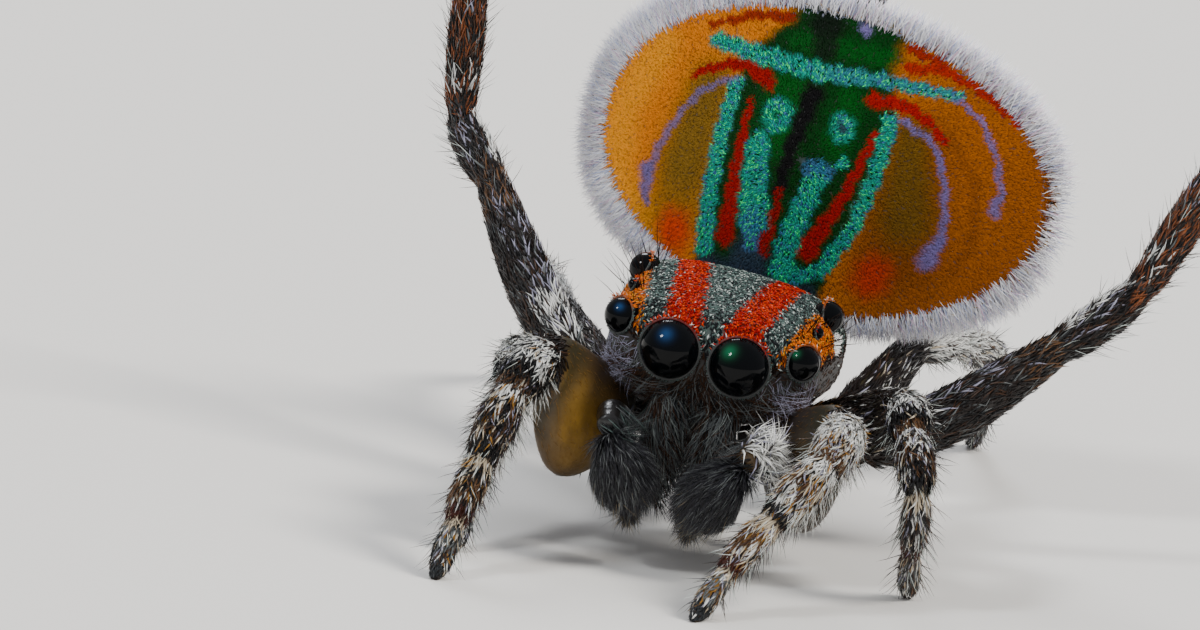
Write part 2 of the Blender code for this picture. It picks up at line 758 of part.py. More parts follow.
def plain_nodes():
    """Every node with its hair left off, in millimetres on the floor."""
    on_floor = body_to_floor()
    on_abdomen = on_floor @ abdomen_to_body()
    nodes = {}

    carapace = carapace_shape()
    sternum = sternum_shape()
    coat = [grown(carapace, GAP), grown(sternum, GAP)]

    for side, sign in (("left", 1), ("right", -1)):
        points, radii = smooth_points(mirrored(PALP_ARM, sign), PALP_ARM_WIDTHS, 8)
        nodes[f"palp_arm_{side}"] = tube("arm", points, radii, 0.9, (0, 0, 1), 8)
        points, radii = smooth_points(mirrored(PALP_TIP, sign), PALP_TIP_WIDTHS, 7)
        nodes[f"palp_tip_{side}"] = tube("tip", points, radii, 0.85, (0, 1, 0), 8)
        jaw = chelicera_shape(sign)
        nodes[f"chelicera_{side}"] = apply_boolean(jaw, [make_copy(coat[0])], "DIFFERENCE")
    nodes["mouthparts"] = mouthparts_shape()
    nodes["sternum"] = sternum

    sockets = []
    for name, centre, radius, fineness in eye_places():
        sockets.append(ball("socket", Vector(centre), radius + EYE_GAP, fineness))
        nodes[name] = ball("eye", Vector(centre), radius, fineness)
    nodes["carapace"] = apply_boolean(carapace, sockets, "DIFFERENCE")

    abdomen, fan, pedicel = abdomen_core(), fan_plate(), pedicel_shape()
    apply_boolean(pedicel, [make_copy(coat[0])], "DIFFERENCE")
    for shape in (abdomen, fan):
        block = grown(shape, GAP)
        block.data.transform(abdomen_to_body())
        apply_boolean(pedicel, [block], "DIFFERENCE")
    nodes["pedicel"] = pedicel
    for obj in nodes.values():
        obj.data.transform(on_floor)

    upright = {}
    block = grown(abdomen, GAP)
    for side, sign in (("left", 1), ("right", -1)):
        flap = make_copy(fan)
        cut(flap, Vector((sign * (FAN_SPLIT + GAP / 2), 0, 0)), Vector((-sign, 0, 0)))
        upright[f"fan_flap_{side}"] = apply_boolean(flap, [make_copy(block)], "DIFFERENCE")
        cut(fan, Vector((sign * (FAN_SPLIT - GAP / 2), 0, 0)), Vector((sign, 0, 0)))
    upright["spinnerets"] = apply_boolean(spinnerets_shape(), [block], "DIFFERENCE")
    upright["abdomen"] = apply_boolean(abdomen, [fan], "UNION")
    for obj in upright.values():
        obj.data.transform(on_abdomen)
    nodes.update(upright)

    for block in coat:
        block.data.transform(on_floor)
    for leg in LEG_POSES:
        for part, _, rings in leg_nodes(leg):
            piece = loft(leg, rings)
            if part == "femur":
                apply_boolean(piece, [make_copy(block) for block in coat], "DIFFERENCE")
            if part == "foot" and leg not in RAISED_LEGS:
                cut(piece, Vector((0, 0, 0)), Vector((0, 0, -1)))
            nodes[f"{leg}_{part}"] = piece
    for block in coat:
        bpy.data.objects.remove(block, do_unlink=True)
    return nodes


def add_hair(nodes):
    """Fuses every lock: the fan's fringe, the palps' brushes, the beard and the legs' coats."""
    on_floor = body_to_floor()
    on_abdomen = on_floor @ abdomen_to_body()
    trees = [(name, surface_tree(obj)) for name, obj in nodes.items()]

    def grow(name, locks, frame):
        grow_locks(name, [lock.placed(frame) for lock in locks], nodes, trees)

    grow("carapace", beard(), on_floor)
    for side, sign in (("left", 1), ("right", -1)):
        points, radii = smooth_points(mirrored(PALP_TIP, sign), PALP_TIP_WIDTHS, 7)
        sections = tube_sections(points, radii, 0.85, (0, 1, 0))
        count, *size = PALP_LOCKS
        grow(f"palp_tip_{side}", around(sections[1:6], count, size, (0, 360), 0.40, 12), on_floor)
    edge = FAN_SPLIT + 0.12
    grow("fan_flap_left", fringe(edge, 9), on_abdomen)
    grow("fan_flap_right", fringe(-9, -edge), on_abdomen)
    edge = FAN_SPLIT - 0.12
    grow("abdomen", fringe(-edge, edge), on_abdomen)
    for leg in LEG_POSES:
        for part, sections, _ in leg_nodes(leg):
            grow(f"{leg}_{part}", leg_locks(leg, part, sections), Matrix.Identity(4))


def look_of(name, looks):
    if name.startswith("eye"):
        return looks["eye"]
    if name.startswith("leg_3"):
        return looks["dark_leg"]
    for start in ("carapace", "palp", "leg", "fan"):
        if name.startswith(start):
            return looks[start]
    return looks["abdomen" if name in ("abdomen", "pedicel", "spinnerets") else "cuticle"]


def centre_on_origin(objects):
    """Moves the whole spider so that the origin is on the floor under the middle of its bounds."""
    corners = [vert.co for obj in objects for vert in obj.data.vertices]
    low = Vector([min(corner[i] for corner in corners) for i in range(3)])
    high = Vector([max(corner[i] for corner in corners) for i in range(3)])
    shift = -(low + high) / 2
    shift.z = 0
    for obj in objects:
        obj.data.transform(Matrix.Translation(shift))


def main():
    clear_scene()
    looks = {
        "carapace": material("carapace", (0.32, 0.11, 0.05), 0.6),
        "cuticle": material("cuticle", (0.06, 0.04, 0.035), 0.6),
        "eye": material("eye", (0.005, 0.012, 0.012), 0.08),
        "palp": material("palp", (0.05, 0.05, 0.055), 0.7),
        "leg": material("leg", (0.30, 0.24, 0.18), 0.7),
        "dark_leg": material("dark_leg", (0.07, 0.05, 0.045), 0.7),
        "abdomen": material("abdomen", (0.20, 0.17, 0.14), 0.7),
        "fan": material("fan", (0.80, 0.36, 0.03), 0.6),
    }
    nodes = plain_nodes()
    add_hair(nodes)
    for name, obj in nodes.items():
        keep_largest(obj)
        obj.data.transform(Matrix.Scale(METRES_PER_MM, 4))
        obj.name = name
        obj.data.name = name
        obj.data.materials.clear()
        obj.data.materials.append(look_of(name, looks))
        obj.data.shade_smooth()
        obj.data.set_sharp_from_angle(angle=math.radians(50))
    centre_on_origin(list(nodes.values()))


main()
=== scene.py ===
"""Looks of the peacock spider: its skin, scales, hair, eyes and fan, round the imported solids.

Shapes are worked out in millimetres, in the body's own frame or the fan's, and carried to the floor's
frame in metres. The spider faces -Y, +Z is up and its left side is at +X.
"""

import math

import bmesh
import bpy
import numpy as np
from mathutils import Matrix, Vector


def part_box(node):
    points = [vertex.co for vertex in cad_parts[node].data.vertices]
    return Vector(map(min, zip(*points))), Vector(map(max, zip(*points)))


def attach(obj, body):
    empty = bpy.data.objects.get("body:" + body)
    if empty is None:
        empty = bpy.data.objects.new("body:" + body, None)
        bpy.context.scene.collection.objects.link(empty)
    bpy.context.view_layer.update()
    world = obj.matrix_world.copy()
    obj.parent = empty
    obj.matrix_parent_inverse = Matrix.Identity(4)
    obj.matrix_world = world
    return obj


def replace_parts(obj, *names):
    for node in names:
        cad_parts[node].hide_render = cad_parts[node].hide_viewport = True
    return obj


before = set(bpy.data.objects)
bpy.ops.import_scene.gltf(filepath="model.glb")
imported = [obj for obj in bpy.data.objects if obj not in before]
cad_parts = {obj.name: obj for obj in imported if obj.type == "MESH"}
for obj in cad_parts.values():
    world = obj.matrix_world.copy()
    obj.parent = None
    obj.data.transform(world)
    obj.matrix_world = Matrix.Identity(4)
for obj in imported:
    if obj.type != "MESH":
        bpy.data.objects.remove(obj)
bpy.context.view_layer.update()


# Stance. The body leans a little to its own left, over its standing legs, and its frame has its
# origin midway between the two big front eyes. The abdomen is raised behind it and turned to its right.

METRES_PER_MM = 0.001
BODY_ROLL = math.radians(5.6)
ABDOMEN_BASE = (0.14, 3.02, -0.34)
ABDOMEN_LEAN = math.radians(8)
ABDOMEN_TURN = math.radians(-10)


def middle_of(*nodes):
    """Middle of the nodes' boxes, in millimetres."""
    corners = [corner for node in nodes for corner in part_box(node)]
    return sum((Vector(corner) for corner in corners), Vector()) / len(corners) / METRES_PER_MM


eye_middle = middle_of("eye_front_median_left", "eye_front_median_right")
floor_from_body = Matrix.Translation(eye_middle) @ Matrix.Rotation(BODY_ROLL, 4, "Y")
abdomen_stance = Matrix.Rotation(-ABDOMEN_LEAN, 4, "X") @ Matrix.Rotation(ABDOMEN_TURN, 4, "Z")
floor_from_abdomen = floor_from_body @ Matrix.Translation(ABDOMEN_BASE) @ abdomen_stance


def carried(matrix, points):
    """Points, in an array whose last axis is X, Y, Z, carried by a matrix."""
    return np.asarray(points) @ np.array(matrix.to_3x3()).T + np.array(matrix.translation)


def turned(matrix, directions):
    """Directions turned by a matrix."""
    return np.asarray(directions) @ np.array(matrix.to_3x3()).T


# Skin. Hard cuticle under the whole coat, one closed surface for each form from head to feet, all in
# one piece. It lies inside the solids by the depth of the coat.


def srgb(red, green, blue):
    """A colour as it looks, from 0 to 255, as the linear values that a shader takes."""
    values = np.array((red, green, blue)) / 255
    return np.where(values <= 0.04045, values / 12.92, ((values + 0.055) / 1.055) ** 2.4)


def blended(colour, other, share):
    """Colours mixed by a share from 0 to 1, one for each point."""
    share = np.clip(share, 0, 1)[..., None]
    return colour * (1 - share) + other * share


def soft_step(values, start, end):
    """Goes smoothly from 0 at start to 1 at end."""
    t = np.clip((values - start) / (end - start), 0, 1)
    return t * t * (3 - 2 * t)


def unit(vectors):
    """Vectors scaled to a length of 1."""
    return vectors / np.maximum(np.linalg.norm(vectors, axis=-1, keepdims=True), 1e-9)


class Form:
    """A surface through rings of points, closed around and at both ends.

    For each point it knows the way along and the way out, whose length is the area that the point
    stands for, and its share of the way along.
    """

    def __init__(self, rings):
        self.rings = np.asarray(rings)
        self.rows, self.columns = self.rings.shape[:2]
        self.along = np.gradient(self.rings, axis=0)
        around = (np.roll(self.rings, -1, 1) - np.roll(self.rings, 1, 1)) / 2
        self.out = np.cross(around, self.along)
        middle = self.rings.mean(axis=1, keepdims=True)
        if (self.out * (self.rings - middle)).sum() < 0:
            self.out = -self.out
        self.area = np.linalg.norm(self.out, axis=2)
        self.facing = unit(self.out)
        self.share = np.arange(self.rows)[:, None] / self.rows * np.ones(self.columns)

    def read(self, grid, s, t):
        """Values of a grid at shares s along the form and t around it."""
        row = np.clip(s, 0, 1) * (self.rows - 1)
        column = (t % 1) * self.columns
        i = np.minimum(row.astype(int), self.rows - 2)
        j = column.astype(int) % self.columns
        a, b = row - i, column - column.astype(int)
        if grid.ndim == 3:
            a, b = a[:, None], b[:, None]
        after = (j + 1) % self.columns
        low = grid[i, j] * (1 - b) + grid[i, after] * b
        high = grid[i + 1, j] * (1 - b) + grid[i + 1, after] * b
        return low * (1 - a) + high * a

    def scatter(self, count, density, rng):
        """Places spread over the form, closer together where the density of a grid is higher."""
        edges = np.cumsum(self.area * density + 1e-12)
        cell = np.searchsorted(edges, (np.arange(count) + rng.random(count)) / count * edges[-1])
        cell = np.minimum(cell, self.area.size - 1)
        s = (cell // self.columns + rng.random(count) - 0.5) / (self.rows - 1)
        t = (cell % self.columns + rng.random(count) - 0.5) / self.columns
        return np.clip(s, 0, 1), t % 1


CAP_RINGS = 6


def closed_ends(rings, start_bulge, end_bulge):
    """Rings with rounded caps: each end ring shrinks to a point that bulges out by a distance."""
    rings = np.asarray(rings)
    caps = []
    for ring, inner, bulge in ((rings[0], rings[1], start_bulge), (rings[-1], rings[-2], end_bulge)):
        middle = ring.mean(axis=0)
        direction = unit(middle - inner.mean(axis=0))
        turns = math.pi / 2 * np.arange(1, CAP_RINGS + 1) / CAP_RINGS
        steps = [(ring - middle) * math.cos(turn) + direction * math.sin(turn) * bulge for turn in turns]
        caps.append(middle + np.array(steps))
    return np.concatenate([caps[0][::-1], rings, caps[1]])


skin_mesh = bmesh.new()
skin_marking = skin_mesh.verts.layers.float_color.new("marking")
skin_gloss = skin_mesh.verts.layers.float.new("gloss")
SAME_POINT = 2e-8


def add_skin(form, colour, gloss=0.4):
    """Adds a form to the skin, with a colour for each of its points and how glossy it is."""
    rows, columns = form.rows, form.columns
    made = bmesh.ops.create_grid(skin_mesh, x_segments=columns, y_segments=rows - 1, size=0.5)["verts"]
    places = np.array([vert.co for vert in made]) + 0.5
    row = np.rint(places[:, 1] * (rows - 1)).astype(int)
    column = np.rint(places[:, 0] * columns).astype(int) % columns
    colours = np.broadcast_to(colour, (rows, columns, 3))[row, column]
    glosses = np.broadcast_to(gloss, (rows, columns))[row, column]
    for vert, point, shade, shine in zip(made, form.rings[row, column], colours, glosses):
        vert.co = point * METRES_PER_MM
        vert[skin_marking] = (*shade, 1)
        vert[skin_gloss] = shine
    faces = list({face for vert in made for face in vert.link_faces})
    bmesh.ops.remove_doubles(skin_mesh, verts=made, dist=SAME_POINT)
    bmesh.ops.recalc_face_normals(skin_mesh, faces=[face for face in faces if face.is_valid])


# Coat. Scales and hairs are small closed blades, each with a root in the skin, a taper to its tip and
# a bend along the way it lies. One blade is shaped once and set out in rows over each form.


class Blade:
    """Shape of one scale or hair, through (place along it, width) pairs from 0 to 1."""

    def __init__(self, *rings):
        bm = bmesh.new()
        for (low, low_width), (high, high_width) in zip(rings, rings[1:]):
            bmesh.ops.create_cone(
                bm,
                segments=3,
                radius1=low_width / 2,
                radius2=high_width / 2,
                depth=high - low,
                matrix=Matrix.Translation((0, 0, (low + high) / 2)),
            )
        bmesh.ops.remove_doubles(bm, verts=bm.verts, dist=1e-4)
        bmesh.ops.recalc_face_normals(bm, faces=bm.faces)
        bmesh.ops.triangulate(bm, faces=bm.faces)
        self.points = np.array([vert.co for vert in bm.verts])
        self.faces = np.array([[vert.index for vert in face.verts] for face in bm.faces])
        bm.free()


scale_blade = Blade((0, 0), (0.45, 1), (1, 0))
hair_blade = Blade((0, 0), (0.2, 1), (0.62, 0.7), (1, 0))

# Least height over the floor, share of a blade that lies in the skin, how many times its spread a
# blade may stray, and size of a blade's patch in the UV map.
FLOOR_CLEARANCE = 0.012
ROOT_DEPTH = 0.08
STRAY_LIMIT = 1.7
UV_PATCH = 0.003


class Coat:
    """One piece of coat, planted blade by blade, with the unwrap of its forms in its UV map."""

    def __init__(self, name, seed):
        self.name = name
        self.rng = np.random.default_rng(seed)
        self.parts = []

    def strays(self, count):
        """Random amounts round 0, with none far out."""
        return np.clip(self.rng.normal(0, 1, count), -STRAY_LIMIT, STRAY_LIMIT)

    def spread(self, form, count, density, grid):
        """Places scattered over a form, and the values of a grid at them."""
        s, t = form.scatter(count, density, self.rng)
        return (s, t), form.read(grid, s, t)

    def sow(self, form, count, density, size, colour, **habit):
        """Plants hairs over a form, in one colour or in a tuple of (colour, share) pairs."""
        places = form.scatter(count, density, self.rng)
        tone = tints(self.rng, count, *colour) if isinstance(colour, tuple) else colour
        self.plant(hair_blade, form, places, size, tone, **habit)

    def plant(
        self, blade, form, places, size, colour, lie=None, window=(0, 1), lift=0.2, sway=0.2, hold=1.0,
        clump=0, pull=0.6, curl=0.1, wave=0.1, thickness=0.35, shade=(0.75, 1.15), gleam=0.0,
    ):
        """Plants blades at places on a form.

        size is their length and width. They follow the form, or the directions in lie as far as they
        hold to the surface. They stand up (lift), spread (sway), gather in locks (clump, pull) and
        bend down (curl) or sideways (wave). shade is how bright root and tip are, a painted shade among
        the blades, dark at the root and light at the tip. gleam is how metallic they look, and the window
        is the part of the UV map that they use.
        """
        rng, (s, t), n = self.rng, places, len(places[0])
        base, out = form.read(form.rings, s, t), unit(form.read(form.out, s, t))

        def held(ways):
            return unit(ways - out * ((ways * out).sum(1) * hold)[:, None])

        along = held(form.read(form.along, s, t) if lie is None else np.broadcast_to(lie, (n, 3)))
        length = np.broadcast_to(size[0], n) * rng.uniform(0.78, 1.22, n)
        if clump:
            heads = rng.choice(n, max(n // clump, 1), replace=False)
            offsets = ((base[:, None] - base[heads][None]) ** 2).sum(2)
            head = heads[np.argmin(offsets, axis=1)]
            target = base[head] + along[head] * length[head][:, None] * 1.1
            along = held(unit(along * (1 - pull) + unit(target - base) * pull))
        beside = unit(np.cross(out + 0.05 * form.read(form.along, s, t), along))
        turn = (self.strays(n) * sway)[:, None]
        along = along * np.cos(turn) + beside * np.sin(turn)
        rise = (lift * rng.uniform(0.5, 1.5, n))[:, None]
        ahead = along * np.cos(rise) + out * np.sin(rise)
        across = unit(np.cross(out + 0.05 * beside, ahead))
        above = np.cross(ahead, across)
        x, y, z = blade.points.T
        reach = length[:, None] * (z - ROOT_DEPTH)
        width = (size[1] * rng.uniform(0.8, 1.2, n))[:, None]
        swing = (self.strays(n) * wave * length)[:, None]
        sideways = width * x + swing * z * z
        points = base[:, None] + ahead[:, None] * reach[..., None] + across[:, None] * sideways[..., None]
        points += above[:, None] * (width * thickness * y)[..., None]
        points -= out[:, None] * (curl * length[:, None] * z * z)[..., None]
        points[..., 2] = np.maximum(points[..., 2], FLOOR_CLEARANCE)
        # Painted shade among the blades: each is darker at its root and lighter at its tip.
        root, tip = shade
        colours = np.broadcast_to(colour, (n, 3))[:, None] * (root + (tip - root) * z)[None, :, None]
        gleams = np.broadcast_to(np.broadcast_to(gleam, n)[:, None], (n, len(x)))
        left, right = window
        across_map = (left + (right - left) * t)[:, None] + UV_PATCH * x
        unwrapped = np.stack([across_map, s[:, None] + UV_PATCH * (z - 0.5)], -1)
        self.parts.append((points, blade.faces, colours, gleams, unwrapped))

    def finish(self, material):
        """Makes the piece and lets it ride on the body."""
        corners, before = [], 0
        for points, faces, *_ in self.parts:
            starts = before + np.arange(len(points)) * points.shape[1]
            corners.append((faces[None] + starts[:, None, None]).reshape(-1, 3))
            before += points.shape[0] * points.shape[1]
        faces = np.concatenate(corners)
        points, colours, gleam, unwrapped = (
            np.concatenate([part[i].reshape(-1, width) for part in self.parts])
            for i, width in ((0, 3), (2, 3), (3, 1), (4, 2))
        )
        mesh = bpy.data.meshes.new(self.name)
        mesh.vertices.add(len(points))
        mesh.vertices.foreach_set("co", (points * METRES_PER_MM).ravel())
        mesh.loops.add(faces.size)
        mesh.loops.foreach_set("vertex_index", faces.ravel())
        mesh.polygons.add(len(faces))
        mesh.polygons.foreach_set("loop_start", np.arange(len(faces)) * 3)
        mesh.update(calc_edges=True)
        bake_map = np.clip(unwrapped, 0, 1)[faces.ravel()]
        mesh.uv_layers.new(name="OFBake").data.foreach_set("uv", bake_map.ravel())
        marking = mesh.attributes.new("marking", "FLOAT_COLOR", "POINT")
        marking.data.foreach_set("color", np.column_stack([colours, np.ones(len(colours))]).ravel())
        mesh.attributes.new("gleam", "FLOAT", "POINT").data.foreach_set("value", gleam.ravel())
        mesh.shade_smooth()
        mesh.materials.append(material)
        add_piece(self.name, mesh)


def add_piece(name, mesh):
    """An object that rides on the body, with the material that its mesh has."""
    piece = bpy.data.objects.new(name, mesh)
    bpy.context.scene.collection.objects.link(piece)
    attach(piece, "root")
    return piece


def picked(rng, zones, palette):
    """A colour for each place, drawn from the (colour, share) pairs of its zone."""
    draw = rng.random(zones.shape)
    tone = np.zeros(zones.shape + (3,))
    for zone, choices in enumerate(palette):
        shares = np.cumsum([share for _, share in choices])
        index = np.searchsorted(shares, draw[zones == zone] * shares[-1])
        tone[zones == zone] = np.array([colour for colour, _ in choices])[np.minimum(index, len(choices) - 1)]
    return tone * rng.uniform(0.82, 1.14, zones.shape)[..., None]


def tints(rng, count, *choices):
    """Colours drawn from (colour, share) pairs."""
    return picked(rng, np.zeros(count, int), [choices])


class Channel:
    """A socket of a shader, for arithmetic in plain expressions."""

    def __init__(self, tree, socket=None):
        self.tree = tree
        self.socket = socket

    def node(self, kind, output, settings=None, **inputs):
        """Output of a new node, its settings set first, then its inputs, by name or by i and number."""
        made = self.tree.nodes.new(kind)
        for name, value in (settings or {}).items():
            setattr(made, name, value)
        for name, value in inputs.items():
            target = made.inputs[int(name[1:]) if name[1:].isdigit() else name]
            if isinstance(value, Channel):
                self.tree.links.new(value.socket, target)
            else:
                target.default_value = value
        return Channel(self.tree, made.outputs[output])

    def maths(self, operation, first, second):
        return self.node("ShaderNodeMath", 0, {"operation": operation}, i0=first, i1=second)

    def __mul__(self, other):
        return self.maths("MULTIPLY", self, other)

    def __add__(self, other):
        return self.maths("ADD", self, other)

    def __rsub__(self, other):
        return self.maths("SUBTRACT", other, self)

    def tinted(self, other, share):
        """This colour mixed with another by a share."""
        return self.node("ShaderNodeMix", 2, {"data_type": "RGBA"}, i0=share, i6=self, i7=other)

    def attribute(self, name, output):
        return self.node("ShaderNodeAttribute", output, {"attribute_name": name})


def new_material(name, varying, **constants):
    """A Principled material: varying gets its tree and returns the sockets that it drives."""
    made = bpy.data.materials.new(name)
    made.use_nodes = True
    shader = made.node_tree.nodes["Principled BSDF"]
    for socket, value in constants.items():
        shader.inputs[socket.replace("_", " ")].default_value = value
    for socket, value in varying(Channel(made.node_tree)).items():
        made.node_tree.links.new(value.socket, shader.inputs[socket])
    return made


def coat_material(name, roughness, **constants):
    """Hair or scales: each has the colour of its place, and a metal gleam where the marking has one."""

    def varying(tree):
        gleam = tree.attribute("gleam", "Fac")
        return {
            "Base Color": tree.attribute("marking", "Color"),
            "Metallic": gleam,
            "Roughness": roughness - gleam * 0.2,
        }

    return new_material(name, varying, **constants)


hair_finish = coat_material("hair", 0.34, Specular_IOR_Level=0.45)
dull_finish = coat_material("dull_hair", 0.6, Specular_IOR_Level=0.12)
scale_finish = coat_material("scales", 0.5, Specular_IOR_Level=0.1)


# Carapace. Domed shield, boxy at the eyes, striped red-orange and silver on top and dull dark brown at
# its sides. The fine scales and thin hair over it follow after the eyes.

CARAPACE = (
    (-0.02, 0.44, 0.17, -0.32),
    (0.06, 0.60, 0.25, -0.40),
    (0.20, 0.71, 0.31, -0.47),
    (0.55, 0.77, 0.37, -0.52),
    (1.00, 0.80, 0.42, -0.53),
    (1.35, 0.82, 0.36, -0.53),
    (1.80, 0.76, 0.10, -0.52),
    (2.12, 0.55, -0.15, -0.50),
    (2.30, 0.28, -0.27, -0.46),
)
CARAPACE_POWER = 2.9
CARAPACE_SIDES = 128
COAT_DEPTH = 0.022
RED = srgb(174, 15, 0)
RED_ORANGE = srgb(220, 66, 4)
DARK_RED = srgb(84, 14, 5)
ORANGE = srgb(222, 108, 12)
YELLOW = srgb(228, 150, 40)
SILVER = srgb(92, 112, 107)
PALE = srgb(205, 214, 208)
WHITE = srgb(242, 242, 238)
MID_GREY = srgb(104, 108, 108)
DARK_GREY = srgb(40, 43, 46)
LILAC = srgb(158, 156, 176)
BROWN = srgb(66, 44, 30)
DARK_BROWN = srgb(32, 23, 19)
BLACK = srgb(14, 13, 14)


def curve_through(rows):
    """Smooth curve through rows of (station, value, value...): returns a function of stations."""
    rows = np.array(rows, float)
    stations, values = rows[:, 0], rows[:, 1:]
    slopes = np.empty_like(values)
    slopes[1:-1] = (values[2:] - values[:-2]) / (stations[2:] - stations[:-2])[:, None]
    slopes[0] = (values[1] - values[0]) / (stations[1] - stations[0])
    slopes[-1] = (values[-1] - values[-2]) / (stations[-1] - stations[-2])

    def at(place):
        i = np.clip(np.searchsorted(stations, place, side="right") - 1, 0, len(stations) - 2)
        span = (stations[i + 1] - stations[i])[:, None]
        t = np.clip((place - stations[i])[:, None] / span, 0, 1)
        start = values[i] * (2 * t**3 - 3 * t**2 + 1) + slopes[i] * span * (t**3 - 2 * t**2 + t)
        return start + values[i + 1] * (3 * t**2 - 2 * t**3) + slopes[i + 1] * span * (t**3 - t**2)

    return at


def angles(count):
    """Angles once around, evenly spaced."""
    return math.tau * np.arange(count) / count


def power_ring(half_width, half_height, power, sides):
    """Ring of a superellipse in the plane, from +X round to +Y."""
    angle = angles(sides)
    c, s = np.cos(angle), np.sin(angle)
    x = np.sign(c) * np.abs(c) ** (2 / power) * half_width
    y = np.sign(s) * np.abs(s) ** (2 / power) * half_height
    return np.stack([x, y], -1)


def carapace_rings():
    """Rings of the carapace in the body's frame, with its face closed by a flat dome."""
    stations = np.concatenate([np.linspace(-0.02, 0.3, 22), np.linspace(0.33, 2.30, 70)])
    rings = []
    for station, (half_width, top, bottom) in zip(stations, curve_through(CARAPACE)(stations)):
        half_height, middle = (top - bottom) / 2, (top + bottom) / 2
        ring = power_ring(half_width - COAT_DEPTH, half_height - COAT_DEPTH, CARAPACE_POWER, CARAPACE_SIDES)
        depth = np.full(CARAPACE_SIDES, station + COAT_DEPTH)
        rings.append(np.stack([ring[:, 0], depth, middle + ring[:, 1]], -1))
    face, tail = rings[0], rings[-1]
    centre = face.mean(axis=0)
    dome = [centre + (face - centre) * share - (0, 0.03 * (1 - share**2), 0) for share in np.arange(15) / 15]
    centre = tail.mean(axis=0)
    end = [centre + (tail - centre) * share + (0, 0.02 * (1 - share), 0) for share in (0.7, 0.35, 0)]
    return np.array(dome + rings + end)


STRIPE, RED_STRIPE, PATCH_ZONE, FLANK, THORAX, MARGIN = range(6)
HEAD_PALETTE = (
    ((SILVER, 0.50), (DARK_GREY, 0.33), (PALE, 0.12), (MID_GREY, 0.05)),
    ((RED, 0.55), (RED_ORANGE, 0.30), (DARK_RED, 0.14), (PALE, 0.01)),
    ((ORANGE, 0.62), (YELLOW, 0.20), (DARK_BROWN, 0.18)),
    ((DARK_BROWN, 0.62), (BROWN, 0.35), (PALE, 0.03)),
    ((DARK_BROWN, 0.62), (BROWN, 0.30), (MID_GREY, 0.08)),
    ((PALE, 0.80), (MID_GREY, 0.20)),
)


def head_zone(places):
    """Zone of the carapace at places in the body's frame."""
    x, y, z = np.abs(places[..., 0]), places[..., 1], places[..., 2]
    wobble = 0.010 * np.sin(y * 31 + x * 17) + 0.008 * np.sin(y * 57 - x * 29 + 1)
    back = np.clip(y / 0.9, 0, 1.3)
    zone = np.where(x < 0.075 + 0.125 * back + wobble, STRIPE, RED_STRIPE)
    zone = np.where(x > 0.335 + 0.085 * back + wobble, STRIPE, zone)
    zone = np.where(x > 0.50 + 0.09 * back + wobble, PATCH_ZONE, zone)
    zone = np.where((y > 0.95 + wobble) & (zone == PATCH_ZONE), STRIPE, zone)
    zone = np.where(z < 0.05 + 0.03 * np.sin(y * 19), FLANK, zone)
    zone = np.where(y + 0.6 * wobble + 0.25 * x > 1.52, THORAX, zone)
    return np.where((z < -0.44) & (y > 0.4) & (x > 0.3), MARGIN, zone)


carapace_places = carapace_rings()
carapace = Form(carried(floor_from_body, carapace_places))
head_skin = np.array([0.5 * choices[0][0] for choices in HEAD_PALETTE])
add_skin(carapace, head_skin[head_zone(carapace_places)], np.where(carapace_places[..., 2] < 0.05, 0.3, 0.4))


# Eyes. Eight glossy lenses, nearly black, the two in front by far the largest. A painted glow, blue in the
# right front lens and green in the left, is a painted reflection high in each front lens towards the
# spider's right. Each sits in a low rim that carries short scales, red-orange above.

SIDES = (("left", 1), ("right", -1))
EYE_KINDS = (
    ("eye_front_median", (0.06, -1.0, 0.02), -0.045, 0.009),
    ("eye_front_lateral", (0.62, -0.78, 0.10), -0.030, 0.008),
    ("eye_rear_median", (0.95, -0.20, 0.25), 0.0, 0.007),
    ("eye_rear_lateral", (0.93, -0.22, 0.30), -0.01, 0.008),
)
# Painted glow of the front lenses, a painted reflection: its colours, the way it faces, its shift between the
# eyes and how fast it fades.
PAINTED_BLUE_GLOW = np.array((0.008, 0.040, 0.120))
PAINTED_GREEN_GLOW = np.array((0.005, 0.110, 0.045))
PAINTED_GLOW_WAY = (-0.30, -0.85, 0.62)
PAINTED_GLOW_SHIFT = (0.10, 0, 0)
PAINTED_GLOW_FADE = 0.026
LENS_BLACK = np.array((0.0012, 0.0016, 0.0022))
RIM_ROWS, RIM_SIDES = 64, 12
RIM_SCALES = ((SILVER, 0.4), (MID_GREY, 0.4), (DARK_GREY, 0.2))
RED_SCALES = ((RED_ORANGE, 0.5), (RED, 0.36), (PALE, 0.14))
ORANGE_SCALES = ((ORANGE, 0.8), (PALE, 0.2))


def lens_varying(tree):
    return {"Base Color": tree.attribute("marking", "Color")}


lens_finish = new_material("eye_lens", lens_varying, Roughness=0.05, Specular_IOR_Level=0.13)
body_from_floor = floor_from_body.inverted()
head_coat = Coat("head_scales", 11)
eyes = []


def around(turns, side_way, top_way):
    """Directions at turns from one direction to another at a right angle to it."""
    return np.cos(turns)[:, None] * side_way + np.sin(turns)[:, None] * top_way


